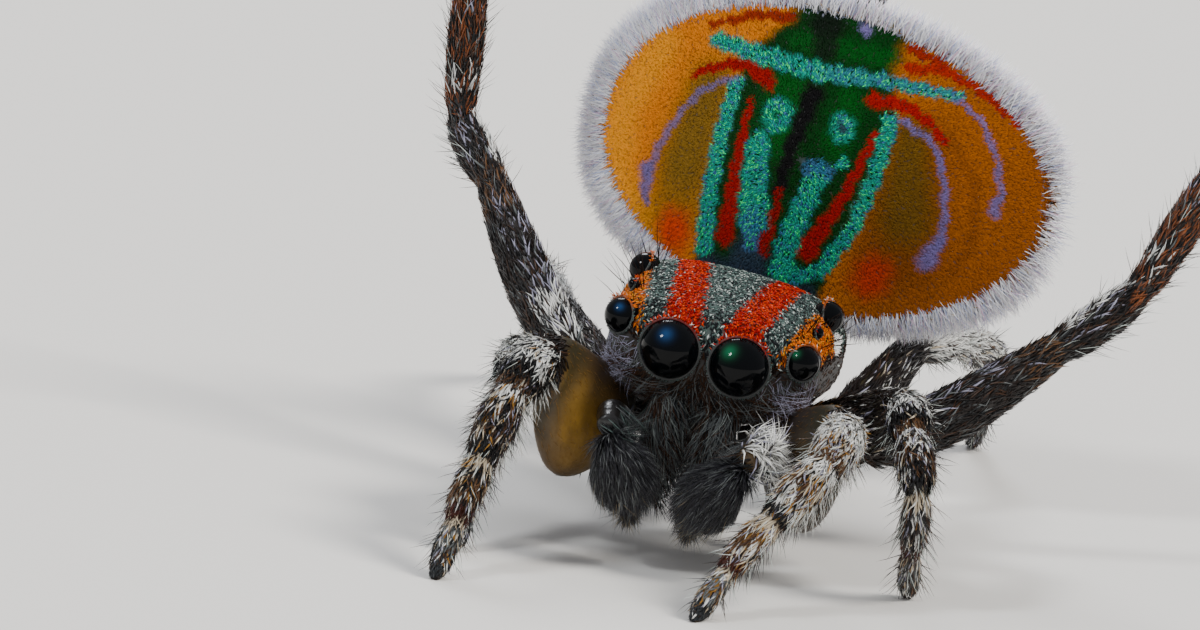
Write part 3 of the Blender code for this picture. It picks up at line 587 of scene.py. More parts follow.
for kind, gaze, offset, rim in EYE_KINDS:
    in_front = "front" in kind
    warm, warm_scales = (RED, RED_SCALES) if "median" in kind else (ORANGE, ORANGE_SCALES)
    for side, sign in SIDES:
        node = f"{kind}_{side}"
        low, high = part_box(node)
        radius = (high[2] - low[2]) / 2 / METRES_PER_MM
        centre = np.array(body_from_floor @ middle_of(node))
        eyes.append((centre, radius))
        lens = bmesh.new()
        marking = lens.verts.layers.float_color.new("marking")
        made = bmesh.ops.create_uvsphere(lens, u_segments=96, v_segments=60, radius=radius)["verts"]
        # Painted reflection: the glow is blue in the right front lens and green in the left.
        light = PAINTED_GREEN_GLOW if sign > 0 else PAINTED_BLUE_GLOW
        painted_glow_way = unit(np.array(PAINTED_GLOW_WAY) - sign * np.array(PAINTED_GLOW_SHIFT))
        near = np.array([vert.co.normalized() for vert in made]) @ painted_glow_way
        # The painted glow is brightest where the lens faces the painted glow's way.
        for vert, close in zip(made, near):
            glow = math.exp((close - 1) / PAINTED_GLOW_FADE) if in_front else 0.0
            vert[marking] = (*(LENS_BLACK + light * glow), 1)
            vert.co = floor_from_body @ (vert.co + Vector(centre)) * METRES_PER_MM
        lens_data = bpy.data.meshes.new(f"{node}_lens")
        lens.to_mesh(lens_data)
        lens.free()
        lens_data.shade_smooth()
        lens_data.materials.append(lens_finish)
        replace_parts(add_piece(f"{node}_lens", lens_data), node)

        front = unit(np.array((sign * gaze[0], gaze[1], gaze[2])))
        side_way = unit(np.cross(front, (0, 0, 1)))
        top_way = np.cross(side_way, front)
        reach = math.sqrt(radius**2 - offset**2) + rim * 0.5
        turns = math.tau * np.arange(RIM_ROWS + 1) / RIM_ROWS
        rays = around(turns, side_way, top_way)
        swell = angles(RIM_SIDES)
        depths = front * (rim * np.sin(swell)[:, None] - offset)
        rim_places = centre + rays[:, None] * (reach + rim * np.cos(swell))[:, None] + depths
        ring = Form(carried(floor_from_body, rim_places))
        upper = soft_step(rays[:, 2], 0.45, 0.75)[:, None] * np.ones((1, RIM_SIDES))
        add_skin(ring, blended(MID_GREY * 0.35, warm * 0.4, upper), 0.5)
        count = 40 + int(900 * radius)
        s = (np.arange(count) + head_coat.rng.random(count)) / count
        t = head_coat.rng.uniform(-0.2, 0.2, count)
        outward = around(s * math.tau, side_way, top_way)
        above = outward[:, 2] + head_coat.rng.normal(0, 0.12, count) > 0.62
        tone = picked(head_coat.rng, above.astype(int), (RIM_SCALES, warm_scales))
        lie = turned(floor_from_body, outward * np.where(above, 0.7, 1.0)[:, None] + front * 0.2)
        length = np.where(above, 0.048, 0.020) * (1.0 if in_front else 0.7)
        head_coat.plant(
            scale_blade, ring, (s, t % 1), (length, 0.010), tone, lie, (0.92, 0.99), lift=0.15, sway=0.45
        )


def outside_eyes(places, clear=0.012):
    """1 at places that no eye covers, 0 under an eye."""
    free = np.ones(places.shape[:-1])
    for centre, radius in eyes:
        free *= np.linalg.norm(places - centre, axis=-1) > radius + clear
    return free


# Scales and hair of the carapace. Fine scales lie forward on its top, thin hair hangs and curls on its
# face, white scales make a spot behind each rear eye, and a few bristles stand by the eyes.

x, y, z = carapace_places[..., 0], carapace_places[..., 1], carapace_places[..., 2]
free = outside_eyes(carapace_places)
HEAD_WINDOW = (0.0, 0.9)


def fanned(roots, spread, ahead, up):
    """Directions that turn sideways more, the farther a root is from the body's middle."""
    ways = [roots[:, 0] * spread, np.full(len(roots), ahead), np.full(len(roots), up)]
    return turned(floor_from_body, np.stack(ways, -1))


top = soft_step(z, -0.02, 0.04) * free * (1 - 0.6 * soft_step(y, 1.5, 1.9))
places, roots = head_coat.spread(carapace, 17000, top, carapace_places)
zones = head_zone(roots + head_coat.rng.normal(0, (0.008, 0.03, 0.008), roots.shape))
tone = picked(head_coat.rng, zones, HEAD_PALETTE)
# More of the silver stripes' scales turn dark grey towards the front.
front_dark_share = 0.45 * soft_step(-roots[:, 1], -0.35, 0.0)
dark_at_front = (zones == STRIPE) & (head_coat.rng.random(len(zones)) < front_dark_share)
tone = np.where(dark_at_front[:, None], DARK_GREY * 0.7, tone)
head_coat.plant(
    scale_blade, carapace, places, (0.052, 0.017), tone, fanned(roots, 0.6, -1.0, 0.1), HEAD_WINDOW,
    lift=0.24, sway=0.45, thickness=0.5, shade=(0.55, 1.15),
)
spot = np.linalg.norm((np.abs(carapace_places) - (0.80, 0.98, 0.10)) * (1, 0.8, 1), axis=-1) < 0.085
places, _ = head_coat.spread(carapace, 240, spot * (z > 0), carapace_places)
head_coat.plant(scale_blade, carapace, places, (0.075, 0.022), WHITE, window=HEAD_WINDOW, lift=0.3, sway=0.3)
brow = soft_step(np.abs(x), 0.5, 0.6) * soft_step(z, 0.08, 0.14) * (1 - soft_step(y, 1.1, 1.3))
up_way = turned(floor_from_body, (0.0, -0.4, 1.0))
head_coat.sow(
    carapace, 60, brow * free, (0.29, 0.010), DARK_BROWN,
    lie=up_way, window=HEAD_WINDOW, lift=1.0, sway=0.5, curl=-0.1,
)
head_coat.finish(scale_finish)

face_coat = Coat("face_hair", 12)
face = (1 - soft_step(z, -0.05, 0.02)) * (1 - soft_step(y, 0.35, 0.6)) * free
places, roots = face_coat.spread(carapace, 3000, face, carapace_places)
near_side = (np.abs(roots[:, 0]) > 0.42 + 0.1 * np.sin(roots[:, 2] * 20)) * (1 + (roots[:, 0] < 0))
FACE_HAIR = (
    ((BROWN, 0.50), (DARK_BROWN, 0.44), (MID_GREY, 0.06)),
    ((MID_GREY, 0.40), (LILAC, 0.22), (BROWN, 0.38)),
    ((MID_GREY, 0.40), (LILAC, 0.50), (BROWN, 0.10)),
)
tone = picked(face_coat.rng, near_side, FACE_HAIR)
face_coat.plant(
    hair_blade, carapace, places, (0.12, 0.0075), tone, fanned(roots, 1.3, -0.3, -0.7), HEAD_WINDOW,
    lift=0.14, sway=0.55, wave=0.3,
)
edge = (1 - soft_step(z, -0.16, -0.1)) * soft_step(z, -0.5, -0.4) * (1 - soft_step(y, 0.1, 0.3))
places, roots = face_coat.spread(carapace, 700, edge * free, carapace_places)
at_side = (np.abs(roots[:, 0]) > 0.45).astype(int)
EDGE_HAIR = (((BROWN, 0.4), (DARK_GREY, 0.2), (MID_GREY, 0.4)), ((LILAC, 0.6), (BROWN, 0.4)))
tone = picked(face_coat.rng, at_side, EDGE_HAIR)
face_coat.plant(
    hair_blade, carapace, places, (0.27, 0.007), tone, fanned(roots, 2.2, -0.5, -0.6), HEAD_WINDOW,
    lift=0.3, sway=0.45, wave=0.35, curl=0.3,
)
flank = (1 - soft_step(z, -0.05, 0.1)) * soft_step(y, 0.3, 0.6)
places, roots = face_coat.spread(carapace, 2500, flank, carapace_places)
tone = picked(face_coat.rng, head_zone(roots), HEAD_PALETTE)
face_coat.plant(hair_blade, carapace, places, (0.085, 0.013), tone, window=HEAD_WINDOW, lift=0.12, sway=0.4)


# Jaws, mouth and sternum. Dark cuticle with thin brown and grey hair, mostly hidden behind the palps.

JAW_PLACES = ((0.16, -0.34), (0.13, -0.52), (0.10, -0.72), (0.08, -0.90), (0.08, -0.98))
JAW_RADII = (0.125, 0.14, 0.135, 0.105, 0.055)


def tube(matrix, points, radii, flatness=1.0, side=(1, 0, 0), count=24, sides=28, bulge=0.02):
    """Form along a smooth curve through a few points, its rings carried along without twist."""
    rows = [(i, *point, radius) for i, (point, radius) in enumerate(zip(points, radii))]
    path = curve_through(rows)(np.linspace(0, len(rows) - 1, count))
    angle = angles(sides)[:, None]
    side = np.array(side, float)
    rings = []
    for point, tangent, radius in zip(path[:, :3], unit(np.gradient(path[:, :3], axis=0)), path[:, 3]):
        side = unit(side - tangent * side.dot(tangent))
        rays = np.cos(angle) * side * flatness + np.sin(angle) * np.cross(tangent, side)
        rings.append(point + rays * radius)
    return Form(carried(matrix, closed_ends(rings, bulge, bulge)))


def mirrored(points, sign):
    """Points on the spider's left, or the same on its right."""
    return np.array(points) * (sign, 1, 1)


JAW_HAIR = ((BROWN, 0.24), (DARK_GREY, 0.20), (MID_GREY, 0.46), (PALE * 0.4, 0.10))
for sign, window in ((1, (0.90, 0.94)), (-1, (0.95, 0.99))):
    jaw = tube(floor_from_body, [(sign * 0.18, y, z) for y, z in JAW_PLACES], JAW_RADII, 0.95)
    add_skin(jaw, DARK_BROWN * 0.8, 0.7)
    swept = turned(floor_from_body, (-sign * 0.35 + 0.2, -0.3, -1.0))
    face_coat.sow(
        jaw, 1400, 1.0, (0.26, 0.009), JAW_HAIR,
        lie=swept, window=window, lift=0.3, sway=0.3, wave=0.2, hold=0.6,
    )
    fang_places = mirrored(((0.15, 0.09, -0.92), (0.11, 0.14, -0.99), (0.08, 0.20, -1.0)), sign)
    add_skin(tube(floor_from_body, fang_places, (0.04, 0.026, 0.006), sides=16, bulge=0.004), BLACK, 0.9)
    lobe_places = mirrored(((0.10, 0.50, -0.60), (0.10, 0.43, -0.68), (0.09, 0.35, -0.74)), sign)
    add_skin(tube(floor_from_body, lobe_places, (0.045, 0.07, 0.045)), BROWN, 0.5)

STERNUM_ROWS = ((-0.562, 0.90), (-0.60, 0.95), (-0.66, 0.97), (-0.72, 0.93), (-0.77, 0.78))
rings = []
for height, share in STERNUM_ROWS:
    ring = power_ring(0.235 * share, 0.62 * share, 2.4, 40)
    rings.append(np.stack([ring[:, 0], 1.16 + ring[:, 1], np.full(len(ring), height)], -1))
sternum = Form(carried(floor_from_body, closed_ends(rings, 0.01, 0.02)))
add_skin(sternum, DARK_BROWN, 0.5)
face_coat.sow(sternum, 500, 1.0, (0.10, 0.011), SILVER * 0.8, window=(0.995, 1), lift=0.3, sway=0.6)
face_coat.finish(dull_finish)


# Palps. Two short feelers held before the jaws: arms with long grey hair, the left one with thick white
# tufts too, and drooping tips that are dense brushes of charcoal hair with straw-coloured ends. The right
# arm's black skin and its lack of white tufts are painted shade.

PALP_ARM = ((0.26, 0.44, -0.64), (0.395, 0.19, -0.64), (0.51, -0.15, -0.51), (0.49, -0.37, -0.55))
PALP_ARM_RADII = (0.05, 0.05, 0.10, 0.092)
PALP_TIP = ((0.45, -0.40, -0.65), (0.37, -0.46, -0.77), (0.30, -0.48, -0.91), (0.26, -0.46, -1.02))
PALP_TIP_RADII = (0.09, 0.160, 0.160, 0.070)
CHARCOAL = srgb(42, 42, 47)
STRAW = srgb(178, 160, 128)
WARM_BROWN = srgb(96, 72, 36)
WHITE_TUFTS = ((450, (1.3, -0.25, -0.5), 0.27), (390, (1.0, -0.35, 0.8), 0.26))
TUFT_HAIR = ((WHITE, 0.74), (LILAC, 0.18), (DARK_BROWN, 0.08))
PALP_BRUSH = (((CHARCOAL, 0.74), (MID_GREY, 0.12), (BLACK, 0.14)), ((CHARCOAL, 0.7), (STRAW * 0.7, 0.3)))
PALP_ENDS = ((STRAW * 0.7, 0.25), (MID_GREY, 0.45), (CHARCOAL, 0.3))
ARM_WINDOW, TIP_WINDOW = (0.0, 0.2), (0.25, 0.99)

for side, sign in SIDES:
    palp_coat = Coat(f"palp_hair_{side}", 14 + sign)
    arm = tube(floor_from_body, mirrored(PALP_ARM, sign), PALP_ARM_RADII, 0.9, (0, 0, 1), bulge=0.04)
    # The right arm's black skin is painted shade; the left arm is warm brown.
    add_skin(arm, BLACK if sign < 0 else WARM_BROWN, 0.8)
    beyond = soft_step(arm.share, 0.3, 0.5)
    # The white tufts go on the left arm only; the right arm without them is painted shade.
    for count, tuft_way, length in WHITE_TUFTS if sign > 0 else ():
        way = turned(floor_from_body, tuft_way)
        toward = soft_step(arm.facing @ unit(way), -0.2, 0.2) * (arm.share < 0.82)
        palp_coat.sow(
            arm, count, beyond * toward, (length, 0.025), TUFT_HAIR, lie=way, window=ARM_WINDOW,
            lift=0.6, sway=0.5, wave=0.4, curl=0.45, clump=7, pull=0.4, shade=(0.5, 1.2), hold=0.6,
        )
    inward = turned(floor_from_body, (-sign * 0.9, -0.35, -0.55))
    arm_hair = ((MID_GREY, 0.35), (DARK_GREY, 0.50), (SILVER if sign < 0 else BROWN, 0.15))
    palp_coat.sow(
        arm, 300, beyond * soft_step(arm.facing @ inward, -0.4, 0.2), (0.32, 0.010), arm_hair, lie=inward,
        window=ARM_WINDOW, lift=0.12, sway=0.14, wave=0.12, curl=0.25, clump=10, shade=(0.4, 1.2),
    )
    tip = tube(floor_from_body, mirrored(PALP_TIP, sign), PALP_TIP_RADII, 0.85, (0, 1, 0), 30, bulge=0.05)
    add_skin(tip, BLACK, 0.2)
    places = tip.scatter(4800, 1.0, palp_coat.rng)
    at_end = (places[0] > 0.90 + 0.05 * palp_coat.rng.normal(0, 1, len(places[0]))).astype(int)
    inner = np.maximum(unit(tip.read(tip.out, *places)) @ turned(floor_from_body, (-sign, 0, 0)), 0)
    palp_coat.plant(
        hair_blade, tip, places, (0.20 + 0.05 * inner, 0.0105), picked(palp_coat.rng, at_end, PALP_BRUSH),
        window=TIP_WINDOW, lift=0.25 + 0.3 * inner, sway=0.13, wave=0.08, curl=0.18, clump=14, pull=0.5,
        shade=(0.6, 1.25),
    )
    palp_coat.sow(
        tip, 380, soft_step(tip.share, 0.35, 0.8), (0.27, 0.0055), PALP_ENDS,
        window=TIP_WINDOW, lift=0.33, sway=0.2, wave=0.15, curl=0.15,
    )
    palp_coat.finish(hair_finish)


# Legs. Eight, of seven segments each, the first two made as one. Their deep femora are bare and ochre
# in front on the first pair, and what follows is scaly, hairy and banded white, brown and black. The
# third pair is dark, long and held up. On the first pair light and shade are painted: the left leg is
# painted lighter, as lit, with its bare femur painted dark as shade, and the right leg is painted darker,
# as shaded, with its bare femur painted brighter as light.

COXA_HEIGHT = -0.64
COXA_ROWS = ((0.30, 0.72), (0.33, 1.01), (0.33, 1.31), (0.29, 1.60))
LEG_LENGTHS = (
    (0.30, 1.06, 0.52, 0.57, 0.50, 0.45),
    (0.30, 0.98, 0.50, 0.52, 0.48, 0.42),
    (0.72, 1.58, 0.70, 1.20, 1.10, 0.70),
    (0.60, 1.15, 0.55, 0.85, 0.80, 0.50),
)
LEG_WIDTHS = (
    (0.25, 0.92, 0.40, 0.35, 0.28, 0.22),
    (0.25, 0.54, 0.38, 0.33, 0.26, 0.21),
    (0.27, 0.44, 0.34, 0.32, 0.26, 0.27),
    (0.25, 0.42, 0.33, 0.30, 0.25, 0.20),
)
FEMUR_FLATNESS = (0.42, 0.60, 0.75, 0.75)
FEMUR_SAG = (0.24, 0.09, 0.07, 0.07)
BELLY_SHIFT = 0.75
CORNER = 0.24
KNEE_FLATNESS = 0.9
WAIST_SHARE, LAST_WAIST_SHARE = 0.80, 0.62
SWELL_POWER = 0.75
BEND_STEP = 0.04
FOOT_SINK = 0.05
LEG_COAT_DEPTH = 0.03
LEG_POSES = {
    "leg_1_left": ((-49, 6), (-49, 20), (-96, -18), (-131, -41), (-128, -41), (-112, -41)),
    "leg_1_right": ((-125, 6), (-125, 28), (-105, -23), (-104, -48), (-102, -49), (-99, -50)),
    "leg_2_left": ((-22, 6), (-22, 25), (-76, -14), (-70, -36), (-86, -108), (-89, -122)),
    "leg_2_right": ((170, -30), (-147, 31), (-87, -21), (-98, -38), (-93, -40), (-98, -57)),
    "leg_3_left": ((6, -10), (14, 34), (28, 38), (30, 62), (44, 74), (90, 78)),
    "leg_3_right": ((170, 8), (138, 41), (126, 26), (118, 82), (70, 84), (40, 76)),
    "leg_4_left": ((36, -9), (67, 24), (65, -2), (73, -15), (100, -41), (105, -48)),
    "leg_4_right": ((150, -6), (122, 12), (114, 9), (103, -2), (90, -42), (78, -60)),
}
RAISED_LEGS = ("leg_3_left", "leg_3_right")
OCHRE = srgb(158, 112, 40)
BARE_OCHRE = srgb(172, 128, 44)
OLIVE = srgb(84, 80, 48)
RUST = srgb(104, 72, 44)
WARM_RUST = srgb(132, 72, 36)
CREAM = srgb(206, 190, 164)
DARK_RUST = srgb(74, 30, 18)

# Bands of scales: from and to along the leg in segments, from the knee's start at 2, how far up the
# leg they begin, from -1 below to 1 on its back, their colour and their share of the scales.
LEG_GROUND = ((WHITE * 0.9, 0.26), (CREAM, 0.08), (LILAC, 0.09), (BROWN, 0.15), (RUST, 0.04), (BLACK, 0.38))
# Ground colours of the front legs' scales: the right leg's darker set is painted shade and the left leg's
# lighter set is painted light.
PAINTED_SHADE_LEG_GROUND = (
    (WHITE * 0.9, 0.12), (CREAM, 0.13), (LILAC, 0.07), (BROWN, 0.22), (OCHRE, 0.06), (BLACK, 0.40),
)
PAINTED_LIGHT_LEG_GROUND = (
    (WHITE * 0.9, 0.36), (CREAM, 0.18), (OCHRE, 0.12), (LILAC, 0.12), (BROWN, 0.10), (BLACK, 0.12),
)
LEG_BANDS = (
    (2.02, 2.80, -2.0, BLACK, 0.72),
    (3.14, 3.72, -2.0, BLACK, 0.25),
    (0.0, 1.98, -1.0, DARK_BROWN, 0.80),
    (2.02, 2.56, 0.10, WHITE, 0.64),
    (2.80, 2.93, -2.0, RUST, 0.60),
    (2.94, 3.14, -2.0, WHITE, 0.60),
    (3.30, 3.70, 0.2, RUST, 0.18),
    (3.74, 3.90, -2.0, BLACK, 0.92),
    (3.92, 4.12, -2.0, CREAM, 0.75),
    (4.30, 4.66, 0.0, RUST, 0.30),
    (4.72, 4.90, -2.0, DARK_RUST, 0.90),
    (4.92, 5.12, -2.0, CREAM, 0.70),
    (5.12, 5.62, -2.0, MID_GREY, 0.45),
    (5.70, 6.10, -2.0, DARK_GREY, 0.85),
)
DARK_LEG_GROUND = ((DARK_BROWN, 0.44), (BLACK, 0.32), (BROWN, 0.15), (MID_GREY, 0.09))
DARK_LEG_BANDS = (
    # The lilac on the femur's upper side is painted sheen.
    (0.9, 1.85, 0.25, LILAC, 0.17),
    (0.95, 1.32, 0.15, WHITE, 0.60),
    (1.80, 2.05, -2.0, RUST, 0.30),
    (2.10, 2.75, 0.0, LILAC, 0.20),
    (2.78, 3.20, -2.0, WARM_RUST, 0.45),
    (3.12, 3.26, 0.0, WHITE, 0.35),
    (3.26, 3.75, -2.0, WARM_RUST, 0.48),
    (3.60, 4.30, -2.0, LILAC, 0.24),
    (4.60, 4.80, 0.0, MID_GREY, 0.40),
    (4.98, 6.10, -2.0, WHITE, 0.94),
)
HIND_LEG_BANDS = ((2.0, 2.9, -0.6, WHITE, 0.75), (3.0, 3.7, -0.3, WHITE, 0.60))
BRISTLES = ((BLACK, 0.55), (BROWN, 0.2), (PALE, 0.25))


def pair_and_side(name):
    """Pair of a leg, from 0, and 1 for the left or -1 for the right."""
    return int(name.split("_")[1]) - 1, 1 if name.endswith("left") else -1


def heading(azimuth, elevation):
    """Direction at an azimuth and a height over the floor, both in degrees."""
    a, e = math.radians(azimuth), math.radians(elevation)
    return Vector((math.cos(a) * math.cos(e), math.sin(a) * math.cos(e), math.sin(e)))


def leg_joints(name, pitch):
    """Joint points of a leg in the floor's frame, with pitch degrees added beyond the knee."""
    number, sign = pair_and_side(name)
    out, behind = COXA_ROWS[number]
    joints = [floor_from_body @ Vector((sign * out, behind, COXA_HEIGHT))]
    for i, (length, (azimuth, elevation)) in enumerate(zip(LEG_LENGTHS[number], LEG_POSES[name])):
        joints.append(joints[-1] + heading(azimuth, elevation + (pitch if i > 1 else 0.0)) * length)
    return joints


def standing_pitch(name):
    """Pitch that brings the foot's tip just under the floor, found by halving."""
    low, high = -30.0, 30.0
    tip_radius = LEG_WIDTHS[pair_and_side(name)[0]][-1] * 0.3
    for _ in range(40):
        middle = (low + high) / 2
        if leg_joints(name, middle)[-1].z - tip_radius > -FOOT_SINK:
            high = middle
        else:
            low = middle
    return (low + high) / 2


def leg_path(joints):
    """Point of the leg at u, which is a whole number at each joint, with its bends rounded."""
    lengths = [(b - a).length for a, b in zip(joints, joints[1:])]

    def corner(joint, v):
        here = joints[joint]
        before = here + (joints[joint - 1] - here).normalized() * min(CORNER, 0.45 * lengths[joint - 1])
        after = here + (joints[joint + 1] - here).normalized() * min(CORNER, 0.45 * lengths[joint])
        return before * (1 - v) ** 2 + here * 2 * v * (1 - v) + after * v * v

    def at(u):
        i = min(int(u), len(lengths) - 1)
        t = u - i
        share = min(CORNER / lengths[i], 0.45)
        if i > 0 and t < share:
            return corner(i, 0.5 + 0.5 * t / share)
        if i < len(lengths) - 1 and t > 1 - share:
            return corner(i + 1, 0.5 * (t - 1 + share) / share)
        return joints[i].lerp(joints[i + 1], t)

    return at


def leg_radius(number, u):
    """Half the leg's width at u: each segment swells in the middle and narrows at its joints."""
    i = min(int(u), 5)
    t = u - i
    widths = LEG_WIDTHS[number]
    here = widths[i]
    waist_before = min(here, widths[max(i - 1, 0)]) * WAIST_SHARE
    waist_after = min(here, widths[i + 1]) * WAIST_SHARE if i < 5 else here * LAST_WAIST_SHARE
    base = waist_before + (waist_after - waist_before) * t
    swell = math.sin(math.pi * min(t, 1.0) ** (BELLY_SHIFT if i == 1 else 1.0)) ** SWELL_POWER
    return (base + (here - base) * swell) / 2


def leg_rings(name, stations, sides=28):
    """Rings of a leg inside its coat, which don't fold inside a bend."""
    number, _ = pair_and_side(name)
    joints = leg_joints(name, 0.0 if name in RAISED_LEGS else standing_pitch(name))
    at = leg_path(joints)
    side = np.cross((0, 0, 1.0), np.array(joints[2] - joints[1]))
    angle = angles(sides)[:, None]
    rings = []
    for u in stations:
        steps = (u - BEND_STEP, u, u + BEND_STEP)
        before, here, after = (np.array(at(min(max(step, 0), 6))) for step in steps)
        tangent = unit(after - before)
        side = unit(side - tangent * side.dot(tangent))
        rise = np.cross(tangent, side)
        inside = BEND_STEP < u < 6 - BEND_STEP
        bend = unit(after - here) - unit(here - before) if inside else np.zeros(3)
        amount = max(np.linalg.norm(bend), 1e-4)
        reach = 0.85 * np.linalg.norm(after - before) / 2 / amount
        sag = FEMUR_SAG[number] * math.sin(math.pi * (u - 1) ** BELLY_SHIFT) if 1 < u < 2 else 0.0
        flat = FEMUR_FLATNESS[number]
        flatness = flat + (KNEE_FLATNESS - flat) * float(soft_step(u, 1.75, 2.1))
        radius = leg_radius(number, u) - LEG_COAT_DEPTH
        outs = (np.cos(angle) * side * flatness + np.sin(angle) * rise) * radius
        outs = outs - bend / amount * np.maximum(0, outs @ bend / amount - reach)[:, None]
        rings.append(here - rise * sag + outs)
    return rings


stations = np.concatenate([[0.0, 0.3, 0.6, 0.85], np.linspace(1, 6, 141)])
for name in LEG_POSES:
    number, sign = pair_and_side(name)
    leg_places = closed_ends(leg_rings(name, stations), 0.02, 0.03)
    leg_places[..., 2] = np.maximum(leg_places[..., 2], 0)
    leg = Form(leg_places)
    leg_u = np.concatenate([np.zeros(CAP_RINGS), stations, np.full(CAP_RINGS, stations[-1])])
    leg_u = leg_u[:, None] * np.ones(leg.columns)
    leftward, backward, upward = np.moveaxis(leg.facing, -1, 0)
    thigh = soft_step(leg_u, 0.9, 1.1) * (1 - soft_step(leg_u, 1.85, 2.0))
    bare = thigh * soft_step(-backward, -0.75, -0.45) * (number == 0)
    # The left front leg is painted as if lit: lighter scales, a brighter ochre patch less hidden by hair and
    # its first two bands, both black, left out; its bare femur is painted dark as shade.
    is_dark, painted_lit_leg = number == 2, name == "leg_1_left"
    ochre_patch = soft_step(np.sin(leg_u * math.tau - 1.2), -0.2, 0.6) * soft_step(leg_u, 2.8, 3.1)
    height = np.sin(angles(leg.columns)) + 0 * leg_u
    veins = 0.82 + 0.18 * np.sin(8 * height + 4 * np.sin(leg_u * 9 + 3 * height))
    glow = soft_step(height, -1.2, -0.5) * (1 - 0.9 * soft_step(height, -0.1, 0.75))
    dark_end = np.maximum(soft_step(leg_u, 1.55, 1.85), 1 - soft_step(leg_u, 1.1, 1.45))
    # Painted light and shade: the ochre patch is brighter on the painted lit leg, whose bare femur is painted
    # dark as shade, while the right front leg's bare femur is painted brighter as light.
    colour = DARK_BROWN
    for shade, share in (
        (BLACK if is_dark else BROWN, soft_step(leg_u, 2.0, 2.4)),
        (OCHRE * (1.0 if painted_lit_leg else 0.7), ochre_patch * (not is_dark)),
        (OLIVE * 0.6, thigh * (number in (1, 3)) * 0.6),
        (BARE_OCHRE * (0.20 if painted_lit_leg else 1.2), bare * glow * veins),
        (OLIVE * 0.3, bare * dark_end * 0.85),
        (WHITE * 0.45, soft_step(leg_u, 4.95, 5.05) * is_dark),
    ):
        colour = blended(colour, shade, share)
    add_skin(leg, colour, 0.3 + 0.1 * thigh)

    leg_coat = Coat(f"hair_{name}", 30 + number * 2 + (sign > 0))
    rng = leg_coat.rng
    full = soft_step(leg_u, 0.6, 1.0)
    # The painted lit leg's ochre patch carries fewer hairs, part of its painted light.
    full *= (1 - bare) * (1 - (0.0 if is_dark else 0.4) * thigh) * (1 - 0.55 * ochre_patch * painted_lit_leg)
    places = leg.scatter(4900, full, rng)
    u, up_side = leg.read(leg_u, *places), leg.read(upward, *places)
    # Front legs: painted light on the left leg's scales and painted shade on the right leg's; the painted lit
    # leg leaves out the first two bands, both black.
    grounds = {"leg_1_left": PAINTED_LIGHT_LEG_GROUND, "leg_1_right": PAINTED_SHADE_LEG_GROUND}
    tone = tints(rng, len(u), *(DARK_LEG_GROUND if is_dark else grounds.get(name, LEG_GROUND)))
    bands = DARK_LEG_BANDS if is_dark else LEG_BANDS + HIND_LEG_BANDS * (number == 3)
    for start, end, low, shade, share in bands[2:] if painted_lit_leg else bands:
        ragged = u + rng.normal(0, 0.02, len(u))
        inside = (ragged > start) & (ragged < end) & (up_side > low) & (rng.random(len(u)) < share)
        tone = np.where(inside[:, None], shade * rng.uniform(0.75, 1.1, len(u))[:, None], tone)
    if is_dark:
        inner_side = -sign * leg.read(leftward, *places)
        stripe = (u > 2.1) & (u < 3.0) & (inner_side > 0.3) & (rng.random(len(u)) < 0.8)
        tone = np.where(stripe[:, None], WHITE, tone)
    length = np.where(u < 5.0, 0.145, 0.11) * np.where(u > 5.7, 0.6, 1.0) * (1.2 if number == 3 else 1.0)
    leg_coat.plant(
        hair_blade, leg, places, (length, 0.021), tone, lift=0.17, sway=0.22, wave=0.2, clump=9, pull=0.45,
        shade=(0.5, 1.2),
    )
    if number == 0:
        leg_coat.sow(leg, 450, bare, (0.06, 0.004), OCHRE * 0.8, lift=0.25, sway=0.3)
        under = (leg_u > 2.4) * (leg_u < 3.9) * soft_step(-upward, 0.0, 0.5)
        leg_coat.sow(leg, 220, under, (0.24, 0.009), WHITE, lift=0.65, sway=0.3, wave=0.25)
    beyond_knee = soft_step(leg_u, 1.9, 2.2) * (leg_u < 5.7)
    leg_coat.sow(
        leg, 420, beyond_knee * (1.3 - upward), (0.22, 0.0065), BRISTLES,
        lift=0.7, sway=0.3, wave=0.12, thickness=0.8,
    )
    leg_coat.finish(hair_finish)


# Abdomen and fan. The abdomen stands upright with its back to the front, and a flap unrolls from each
# side of it, so that back and flaps make one broad fan. Fine scales cover it: amber flaps, stripes of
# blue-green and red down the middle, lilac lines that end in drops, and a pale fringe round the rim.

ABDOMEN_LENGTH = 2.45
ABDOMEN_HALF_WIDTH = 0.74
ABDOMEN_HALF_DEPTH = 0.50
ABDOMEN_COAT_DEPTH = 0.03
FAN_HALF_WIDTH = 1.70
FAN_HALF_HEIGHT = 1.06
FAN_CENTRE_HEIGHT = 1.24
FAN_POWER = 2.25
FAN_FRONT = -0.52
FAN_CURL = 0.50
FAN_RISE_CURL = 0.06
FAN_ROOT_THICKNESS = 0.34
FAN_RIM_THICKNESS = 0.13
FAN_COAT_DEPTH = 0.02
FAN_FACE_RINGS, FAN_RIM_RINGS = 42, 5
AMBER = srgb(216, 122, 4)
GOLD = srgb(240, 158, 8)
DEEP_AMBER = srgb(138, 72, 3)
FAN_OLIVE = srgb(122, 92, 22)
FAN_RED = srgb(156, 15, 4)
FAN_GLOW = srgb(206, 52, 4)
TEAL = srgb(24, 158, 138)
BRIGHT_GREEN = srgb(56, 226, 136)
BLUE_GREY = srgb(66, 112, 156)
FAN_LILAC = srgb(110, 98, 152)
DEEP_GREEN = srgb(2, 55, 10)
LEAF_GREEN = srgb(4, 88, 20)
SLATE = srgb(44, 58, 76)
TAN = srgb(168, 132, 84)
FRINGE_PALE = srgb(250, 249, 253)
FRINGE_BLUE = srgb(192, 200, 230)
FRINGE_PINK = srgb(232, 200, 224)

